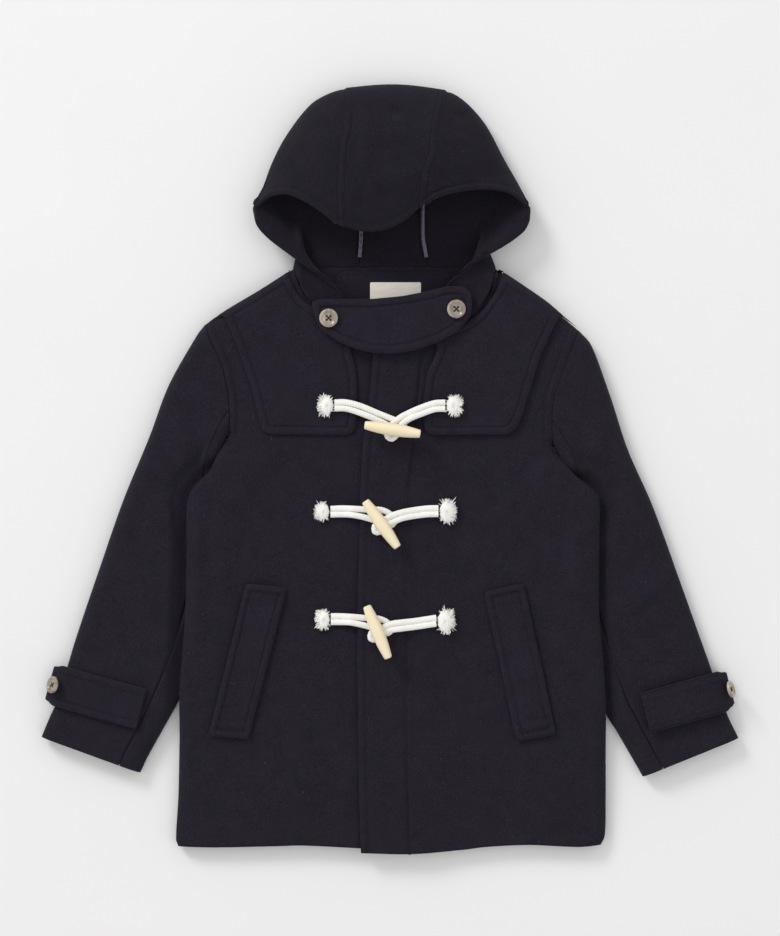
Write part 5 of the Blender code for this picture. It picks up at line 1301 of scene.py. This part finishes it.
for side in ("right", "left"):
    outline = round_corners(yoke_outline(side), 1, 0.2, 2.5)
    gap = 0.8 if side == "right" else 2.3
    h = lambda x, y, s=side: full_front(s, x, y)
    made, area, w, l, ring, tops = cut_piece("yoke_" + side, outline, h, CLOTH, gap, MELTON_OVER, extra=patch_marks(side))
    as_sheet(made, ["yoke_" + side], area, w, l, rests=["front_" + side])
    thread_ring("yoke_" + side, ring, tops, keep=lambda q, s=side: distance(SHOULDER[s], q[:, 0], q[:, 1]) > 12)
    x0, x1, y0, y1 = PATCH[side]
    for path in ([(x0, y0), (x0, y1)], [(x1, y0), (x1, y1)], [(x0, y1), (x1, y1)]):
        stitches("yoke_" + side, resample(path, 2.0, False), lambda x, y, t=tops: t(x, y) + 0.25)

    outline = round_corners(WELT_CORNERS[side], 2, 0.2, 3.0)
    sides = WELT_CORNERS[side]
    across_lines = []
    for share in (0.055, 0.115, 0.885, 0.945):
        a = np.array(sides[0]) + (np.array(sides[3]) - np.array(sides[0])) * share
        c = np.array(sides[1]) + (np.array(sides[2]) - np.array(sides[1])) * share
        across_lines.append((a + (c - a) * 0.03, a + (c - a) * 0.97))

    def welt_marks(x, y, lines=across_lines):
        out = np.zeros(np.shape(x))
        for a, c in lines:
            d, _, _ = line_near([tuple(a), tuple(c)], x, y)
            out = out - 0.85 * np.exp(-(d / 1.6) ** 2)
        return out

    made, area, w, l, ring, tops = cut_piece("pocket_welt_" + side, outline, h, WELT, 1.0, MELTON_OVER, extra=welt_marks, fill=2.4, stitch=7.0)
    as_sheet(made, ["pocket_welt_" + side], area, w, l, rests=["front_" + side])
    thread_ring("pocket_welt_" + side, ring, tops, 7.0)
    for a, c in across_lines:
        stitches("pocket_welt_" + side, resample([a, c], 2.0, False), tops)

arm_r = [(-176.0, 158.0), (-171.2, 156.5), (-153.3, 109.2), (-143.8, 84.8), (-139.0, low)]
back_low = BACK_YOKE_Y + 8.5
back_top = [tuple(q) for q in np.concatenate([curve(SHOULDER["left"])(np.linspace(1, 0.0, 22))[3:] + [-1.0, -2.6], curve(SHOULDER["right"])(np.linspace(0, 1, 22))[:-3] + [1.0, -2.6]])]
back_outline = [(-139.0, back_low), (136.0, back_low), (146.0, 84.8), (157.5, 116.6), (168.0, 140.0), (175.5, 157.0)] + back_top + [(-171.2, 156.5), (-153.3, 109.2), (-143.8, 84.8)]
made, area, w, l, ring, tops = cut_piece("yoke_back", back_outline, back_height, CLOTH, LAY_GAP * 0.5, MELTON_OVER, down=True, puff=0.0, deep=0.6, fill=4.5)
for v in made.data.vertices:
    v.co.z = max(v.co.z, 0.0)
as_sheet(made, ["yoke_back"], area, w, l, rests=["back"])

# ------------------------------------------------------------------ facing and label inside the neck
inner_back = lambda x, y: back_height(x, y) + CLOTH
x0, x1 = FACING["x"]
y0, y1 = FACING["y"]
facing = round_corners([(x0, y0 + 22), (x0 + 8, y0 + 7), (x0 + 24, y0), (x1 - 24, y0), (x1 - 8, y0 + 7), (x1, y0 + 22), (x1, y1), (x0, y1)], 1, 0.2, 5)
made, area, w, l, ring, tops = cut_piece("neck_facing", facing, inner_back, 1.6, LAY_GAP, MELTON_OVER, stitch=5.0, deep=0.4)
as_sheet(made, ["neck_facing"], area, w, l, rests=["back"])
x0, x1 = LABEL["x"]
y0, y1 = LABEL["y"]
on_facing = lambda x, y: back_height(x, y) + CLOTH + LAY_GAP + 1.6
made, area, w, l, ring, tops = cut_piece("neck_label", round_corners([(x0, y0), (x1, y0), (x1, y1), (x0, y1)], 1, 0.1, 0.8), on_facing, 0.7, LAY_GAP, LABEL_CLOTH,
                                         rings=(0.3, 0.8, 1.5, 2.2, 3.0, 4.2), stitch=2.2, puff=0.1, deep=0.15, fill=2.0, step=1.2)
as_sheet(made, ["neck_label"], area, w, l, slot="label", rests=["neck_facing"])

# ------------------------------------------------------------------ throat tab
SLIT = [(51.5, 162.8), (60.5, 164.6)]


def tab_marks(x, y):
    d, _, _ = line_near(SLIT, x, y)
    return -1.0 * np.exp(-(d / 0.8) ** 2) + 0.3 * np.exp(-((d - 2.2) / 1.0) ** 2) + crease([(-50, 150), (-10, 143), (30, 150)], -0.5, 9, x, y)


tab_wave = lambda x, y: tab_height(x, y) + 0.35 * undulation(x, y, 0, 9.0)
made, area, w, l, ring, tops = cut_piece("throat_tab", round_corners(TAB_OUTLINE, 1, 0.2, 3.0), tab_wave, TAB, 0.0, MELTON_OVER, extra=tab_marks, fill=2.2, stitch=8.5)
as_sheet(made, ["throat_tab"], area, w, l, rests=["front_right", "front_left"])
thread_ring("throat_tab", ring, tops, 8.5)

# ------------------------------------------------------------------ cuff straps
for side in ("right", "left"):
    s = strap_grid(side)
    share = np.linspace(0, 1, s.shape[0])
    path = curve(s[:, 2])
    length = np.linalg.norm(np.diff(s[:, 2], axis=0), axis=1).sum()
    t = np.linspace(0, 1, int(length / 1.5))
    w = np.concatenate([[0, 0.008, 0.025, 0.06, 0.11, 0.15, 0.175, 0.19, 0.205, 0.235], np.linspace(0.28, 0.72, 14), [0.765, 0.795, 0.81, 0.825, 0.85, 0.89, 0.94, 0.975, 0.992, 1]])
    a, c = curve(s[:, 0])(t), curve(s[:, -1])(t)
    g = a[:, None] * (1 - w)[None, :, None] + c[:, None] * w[None, :, None]
    n = normals(g, False)
    width = np.linalg.norm(c - a, axis=1)[:, None]
    d = np.minimum(np.minimum(w, 1 - w)[None] * width, ((1 - t) * length)[:, None])
    round_ = 1 - np.sqrt(np.maximum(0, 1 - (1 - np.clip(d / 1.4, 0, 1)) ** 2))
    move = -0.5 * STRAP * round_ + 0.3 * smooth(1, 4, d) * (1 - smooth(5.5, 8, d)) - 0.6 * np.exp(-((d - 8.0) / 1.1) ** 2) + 0.2 * undulation(g[..., 0], g[..., 1], 0, 3.0)
    top = g + n * move[..., None]
    made = build("cuff_strap_" + side + "_cloth", top.reshape(-1, 3), grid_faces(top.shape[0], top.shape[1], False), MELTON_OVER)
    solid = made.modifiers.new("cloth", "SOLIDIFY")
    solid.thickness, solid.offset, solid.use_even_offset, solid.use_rim = STRAP * 0.0009, -1.0, False, True
    freeze(made)
    as_sheet(made, ["cuff_strap_" + side], flat_area(g), *span(g), rests=["sleeve_" + side + "_top"])
    j0, j1 = int(np.argmin(np.abs(w * width.mean() - 8.0))), int(np.argmin(np.abs((1 - w) * width.mean() - 8.0)))
    i1 = int(len(t) * 0.93)
    for path in (top[4:i1, j0], top[4:i1, j1], top[i1, j0:j1 + 1]):
        stitches("cuff_strap_" + side, path + [0, 0, 0.25], None)

# ------------------------------------------------------------------ stitch lines of the panels
def panel_line(piece, side, path, d, y_from, y_to):
    p = curve(path)(np.linspace(0, 1, 260))
    t = np.gradient(p, axis=0)
    t /= np.linalg.norm(t, axis=1)[:, None]
    n = np.column_stack([-t[:, 1], t[:, 0]])
    q = p + n * d
    q = q[(q[:, 1] < y_from) & (q[:, 1] > y_to)]
    stitches(piece, q, lambda x, y: full_front(side, x, y) + front_stitches(side, x, y) + 0.12)


panel_line("front_left", "left", EDGE_LINE, STITCH_IN, 118, -398)
panel_line("front_left", "left", PLACKET_LINE, 0.0, 124, -398)
for side in ("right", "left"):
    panel_line("front_" + side, side, ARM_LINE[side], 8.5 if side == "right" else -8.5, 140, 32)
for name, g in HOOD_TOPS.items():
    rows = np.concatenate([np.zeros((1, g.shape[1])), np.cumsum(np.linalg.norm(np.diff(g, axis=0), axis=2), axis=0)])
    for d in (8.0, 38.0):
        path = []
        for j in range(1, g.shape[1] - 1):
            s = rows[-1, j] - d
            path.append([np.interp(s, rows[:, j], g[:, j, i]) for i in range(3)])
        path = np.array(path) + [0, 0, 0.15]
        if d > 20:
            path = path[path[:, 2] > 40]
        if len(path) > 4:
            stitches("hood_" + name, path, None)
for (piece, (points, faces)) in THREADS.items():
    made = build(piece + "_stitches", points, faces, THREAD)
    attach(made, "root")


# ------------------------------------------------------------------ cords
def frames(path):
    t = np.gradient(path, axis=0)
    t /= np.linalg.norm(t, axis=1)[:, None]
    side = np.cross(t, [0, 0, 1.0])
    side /= np.maximum(np.linalg.norm(side, axis=1), 1e-6)[:, None]
    return t, side, np.cross(side, t)


def strand_tube(path, radius, around, flat, twist, cut, points, faces, taper=None):
    """Adds a tube with strands twisted round it."""
    t, side, up = frames(path)
    s = np.concatenate([[0], np.cumsum(np.linalg.norm(np.diff(path, axis=0), axis=1))])
    start = len(points)
    for i in range(len(path)):
        for k in range(around):
            w = 2 * math.pi * k / around
            r = radius * (1 - cut * (1 - abs(math.cos(1.5 * w + twist * s[i])))) * (1 if taper is None else taper[i])
            points.append(path[i] + side[i] * math.cos(w) * r + up[i] * math.sin(w) * r * flat)
    faces += grid_faces(len(path), around, False, True, start)
    faces.append(tuple(start + k for k in range(around)))
    faces.append(tuple(start + (len(path) - 1) * around + k for k in range(around - 1, -1, -1)))


CORD_LENGTHS = {}
for name in CORDS:
    path = cord_path(name)
    fine = np.stack([np.interp(np.linspace(0, 1, 260), np.linspace(0, 1, len(path)), path[:, i]) for i in range(3)], axis=1)
    points, faces = [], []
    strand_tube(fine, CORD_WIDTH / 2 * 1.14, 24, CORD_FLAT, 1.15, 0.13, points, faces)
    made = build("cord_" + name, points, faces, CORD)
    length = float(np.linalg.norm(np.diff(path, axis=0), axis=1).sum()) * 0.001
    CORD_LENGTHS[name] = round(length, 4)
    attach(made, "root")
    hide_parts("toggle_cord_" + name)
    [tuple(p) for p in path * 0.001]

# ------------------------------------------------------------------ sewn, frayed cord ends
END_HIGH = 6.0
for name, end in CORD_ENDS.items():
    rng = np.random.default_rng(sum(map(ord, name)))
    x, y = end["at"]
    hx, hy = end["half"]
    z = float(resting(np.array([x]), np.array([y]), 9.0)[0]) + 0.4 + END_HIGH / 2
    away = 1 if name.endswith("left") else -1
    points, faces = [], []
    n_u, n_v = 40, 24
    for i in range(n_v + 1):  # the whipped knot
        v = math.pi * i / n_v
        for k in range(n_u):
            u = 2 * math.pi * k / n_u
            lump = 1 + 0.07 * math.sin(9 * u + 2 * math.sin(5 * v)) + 0.05 * math.sin(13 * v + 3 * u)
            points.append([x + hx * 0.80 * math.cos(u) * math.sin(v) * lump - away * 0.8, y + hy * 0.82 * math.sin(u) * math.sin(v) * lump,
                           z + END_HIGH * 0.5 * math.cos(v) * (0.95 + 0.1 * math.sin(11 * u))])
    faces += grid_faces(n_v + 1, n_u, True, True)
    for k in range(150):  # loose fibres
        turn = rng.normal(0, 1.25) + (0 if away > 0 else math.pi)
        base = np.array([x + hx * 0.5 * math.cos(turn), y + hy * 0.6 * math.sin(turn), z + rng.uniform(-1.8, 1.8)])
        reach = rng.uniform(0.45, 0.72) * (1.25 if rng.random() > 0.85 else 1.0)
        tip = np.array([x + hx * (0.5 + reach) * math.cos(turn + rng.normal(0, 0.22)), y + hy * (0.5 + reach * 0.9) * math.sin(turn + rng.normal(0, 0.22)), z + rng.uniform(-2.2, 1.8)])
        mid = (base + tip) / 2 + rng.normal(0, 0.7, 3)
        s = np.linspace(0, 1, 6)[:, None]
        line = base * (1 - s) ** 2 + 2 * mid * s * (1 - s) + tip * s ** 2
        strand_tube(line, rng.uniform(0.28, 0.55), 6, 1.0, 0.0, 0.0, points, faces, np.array([1, 1, 1, 0.95, 0.8, 0.45]))
    made = build("frayed_end_" + name, points, faces, CORD)
    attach(made, "root")
    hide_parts("cord_end_" + name)


# ------------------------------------------------------------------ toggles and buttons
def local_coords(made, local):
    attribute = made.data.attributes.new("local", "FLOAT_VECTOR", "POINT")
    attribute.data.foreach_set("vector", (np.asarray(local) * 0.001).ravel())


for name, t in TOGGLES.items():
    h = np.array([o[0] for o in TOGGLE_OUTLINE[1:-1]])[::-1]
    w = np.array([o[1] for o in TOGGLE_OUTLINE[1:-1]])[::-1]
    s = np.linspace(-1, 1, 90)
    profile = np.interp(s, h, w)
    profile = 0.3 * profile + 0.7 * (1.64 - 0.66 * np.abs(s) ** 1.9)
    near = np.clip((1 - np.abs(s)) / 0.045, 0, 1)
    profile = profile * (0.82 + 0.18 * np.sqrt(1 - (1 - near) ** 2))
    x, y = t["at"]
    z = float(resting(np.array([x]), np.array([y]), 10.0)[0]) + 0.6 + 2 * CORD_HIGH + 1.0 + TOGGLE_MIDDLE / 2
    turn = math.radians(t["turn"])
    along, side = np.array([math.cos(turn), math.sin(turn), 0]), np.array([-math.sin(turn), math.cos(turn), 0])
    points, local, faces = [], [], []
    around = 48
    rings = [(-1, profile[0] * f) for f in (0.0, 0.35, 0.7)] + list(zip(s, profile)) + [(1, profile[-1] * f) for f in (0.7, 0.35, 0.0)]
    for a, r in rings:
        for k in range(around):
            v = 2 * math.pi * k / around
            r_ = r * TOGGLE_END / 2 * 1.13
            q = [r_ * math.cos(v), r_ * math.sin(v), a * TOGGLE_LENGTH / 2]
            local.append(q)
            points.append(np.array([x, y, z]) + along * q[2] + side * q[0] + np.array([0, 0, 1]) * q[1])
    made = build("wooden_toggle_" + name, points, grid_faces(len(rings), around, True, True), WOOD)
    local_coords(made, local)
    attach(made, "root")
    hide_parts("toggle_" + name)


def fine_button(node_name, width, height, at, tilt=(0.0, 0.0)):
    r = width / 2
    rs = np.concatenate([np.linspace(0, 0.97, 40), [0.985, 1.0, 1.0, 0.99, 0.95, 0.86, 0.6, 0.3, 0.0]])
    top = np.interp(rs[:40], [0, 0.3, 0.55, 0.66, 0.76, 0.88, 0.97], [0.60, 0.62, 0.66, 0.8, 1.0, 1.0, 0.9])
    zs = np.concatenate([top, [0.82, 0.66, 0.38, 0.2, 0.08, 0, 0, 0, 0]]) * height
    around = 96
    holes = [(a * 0.205, b * 0.205) for a in (-1, 1) for b in (-1, 1)]
    local, faces = [], []
    for i, (q, z) in enumerate(zip(rs, zs)):
        for k in range(around):
            v = 2 * math.pi * k / around
            px, py = q * math.cos(v), q * math.sin(v)
            dip = 0.0
            if i < 40:
                for a, b in holes:
                    d = math.hypot(px - a, py - b)
                    dip = max(dip, 1 - float(smooth(0.085, 0.125, d)))
            local.append([px * r, py * r, z - dip * height * 0.5])
    faces = grid_faces(len(rs), around, False, True)
    count = len(local)
    thread = [], []
    for a, b in (((-0.205, -0.205), (0.205, 0.205)), ((0.205, -0.205), (-0.205, 0.205))):
        s = np.linspace(0, 1, 9)
        line = np.column_stack([(a[0] + (b[0] - a[0]) * s) * r, (a[1] + (b[1] - a[1]) * s) * r, height * (0.42 + 0.34 * np.sin(math.pi * s) ** 0.5)])
        strand_tube(line, 0.55, 8, 0.8, 0.0, 0.0, thread[0], thread[1])
    ay, az = math.radians(tilt[0]), math.radians(tilt[1])
    ry = np.array([[math.cos(ay), 0, math.sin(ay)], [0, 1, 0], [-math.sin(ay), 0, math.cos(ay)]])
    rz = np.array([[math.cos(az), -math.sin(az), 0], [math.sin(az), math.cos(az), 0], [0, 0, 1]])
    place = lambda p: (rz @ ry @ np.asarray(p, float).T).T + np.array(at)
    made = build("horn_" + node_name, place(local), faces, HORN)
    local_coords(made, np.array(local) + [at[0] * 0.3, at[1] * 0.3, 0])
    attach(made, "root")
    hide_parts(node_name)
    sewn = build("sewing_" + node_name, place(thread[0]), thread[1], THREAD)
    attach(sewn, "root")


for side in ("right", "left"):
    x, y = THROAT_BUTTONS[side]
    fine_button("throat_button_" + side, BUTTON, 3.4, (x, y, float(tab_height(x, y)) + TAB + 0.6))
fine_button("cuff_button_right", CUFF_BUTTON, 3.4, (-352.2, -227.3, 19.0), (-50.0, -15.0))
fine_button("cuff_button_left", CUFF_BUTTON, 3.4, (355.9, -232.2, 17.6), (66.0, 15.4))

# ------------------------------------------------------------------ bound seams inside the hood
for side in ("right", "left"):
    seam = curve(HOOD_SEAM_UNDER[side])(np.linspace(0.05, 0.8, 150))
    seam[:, 2] = np.maximum(seam[:, 2], 0) + CLOTH + 0.9 + 1.3
    s = np.arange(150)
    taper = 1 + 0.05 * np.sin(s * 0.9) + 0.04 * np.sin(s * 2.3)
    points, faces = [], []
    strand_tube(seam, 2.2, 20, 0.6, 0.0, 0.0, points, faces, taper)
    made = build("satin_binding_" + side, points, faces, SATIN)
    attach(made, "root")
    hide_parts("hood_piping_" + side)

# ------------------------------------------------------------------ studio
floor_made, floor_tree, floor_shader = material("paper_floor")
coords = node(floor_tree, "ShaderNodeTexCoord").outputs["Object"]
paper = noise(floor_tree, coords, 6, 2, 0.5)
floor_tree.links.new(ramp(floor_tree, paper, [(0.3, (0.895, 0.895, 0.895)), (0.7, (0.905, 0.905, 0.905))]), floor_shader.inputs["Base Color"])
floor_shader.inputs["Roughness"].default_value = 0.95
floor_shader.inputs["Specular IOR Level"].default_value = 0.05
mesh = bpy.data.meshes.new("floor")
mesh.from_pydata([(-6, -6, -0.0012), (6, -6, -0.0012), (6, 6, -0.0012), (-6, 6, -0.0012)], [], [(0, 1, 2, 3)])
mesh.materials.append(floor_made)
floor = bpy.data.objects.new("floor", mesh)
bpy.context.scene.collection.objects.link(floor)
floor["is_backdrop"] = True

world = bpy.data.worlds.new("studio")
world.use_nodes = True
world.node_tree.nodes["Background"].inputs[0].default_value = (1.0, 1.0, 1.0, 1)
world.node_tree.nodes["Background"].inputs[1].default_value = 0.74
bpy.context.scene.world = world


def lamp(name, at, size, power):
    data = bpy.data.lights.new(name, "AREA")
    data.shape, data.size, data.energy = "DISK", size, power
    made = bpy.data.objects.new(name, data)
    made.location = at
    made.rotation_euler = (Vector((0, 0, 0)) - Vector(at)).to_track_quat("-Z", "Y").to_euler()
    bpy.context.scene.collection.objects.link(made)
    return made


for one in (lamp("key", (-3.7, 4.5, 3.3), 2.2, 190.0), lamp("fill", (2.6, -1.2, 2.4), 2.4, 4.0)):
    one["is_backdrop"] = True

camera_data = bpy.data.cameras.new("camera")
camera_data.sensor_width, camera_data.sensor_height, camera_data.sensor_fit = 36.0, 36.0, "AUTO"
camera_data.lens = 109.9
camera_data.clip_start, camera_data.clip_end = 0.1, 30
camera = bpy.data.objects.new("camera", camera_data)
camera.location = (0, 0, 3.012)
camera.rotation_euler = (0, 0, 0)
bpy.context.scene.collection.objects.link(camera)
bpy.context.scene.camera = camera
bpy.context.scene.view_settings.view_transform = "Standard"
bpy.context.scene.view_settings.look = "None"

print("FLAT", FLAT)
print("CORDS", CORD_LENGTHS)


def plain(value):
    return [plain(v) for v in value] if hasattr(value, "__len__") else float(value)


{"frame": plain(SIZE_BEFORE), "visual": plain(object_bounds())}
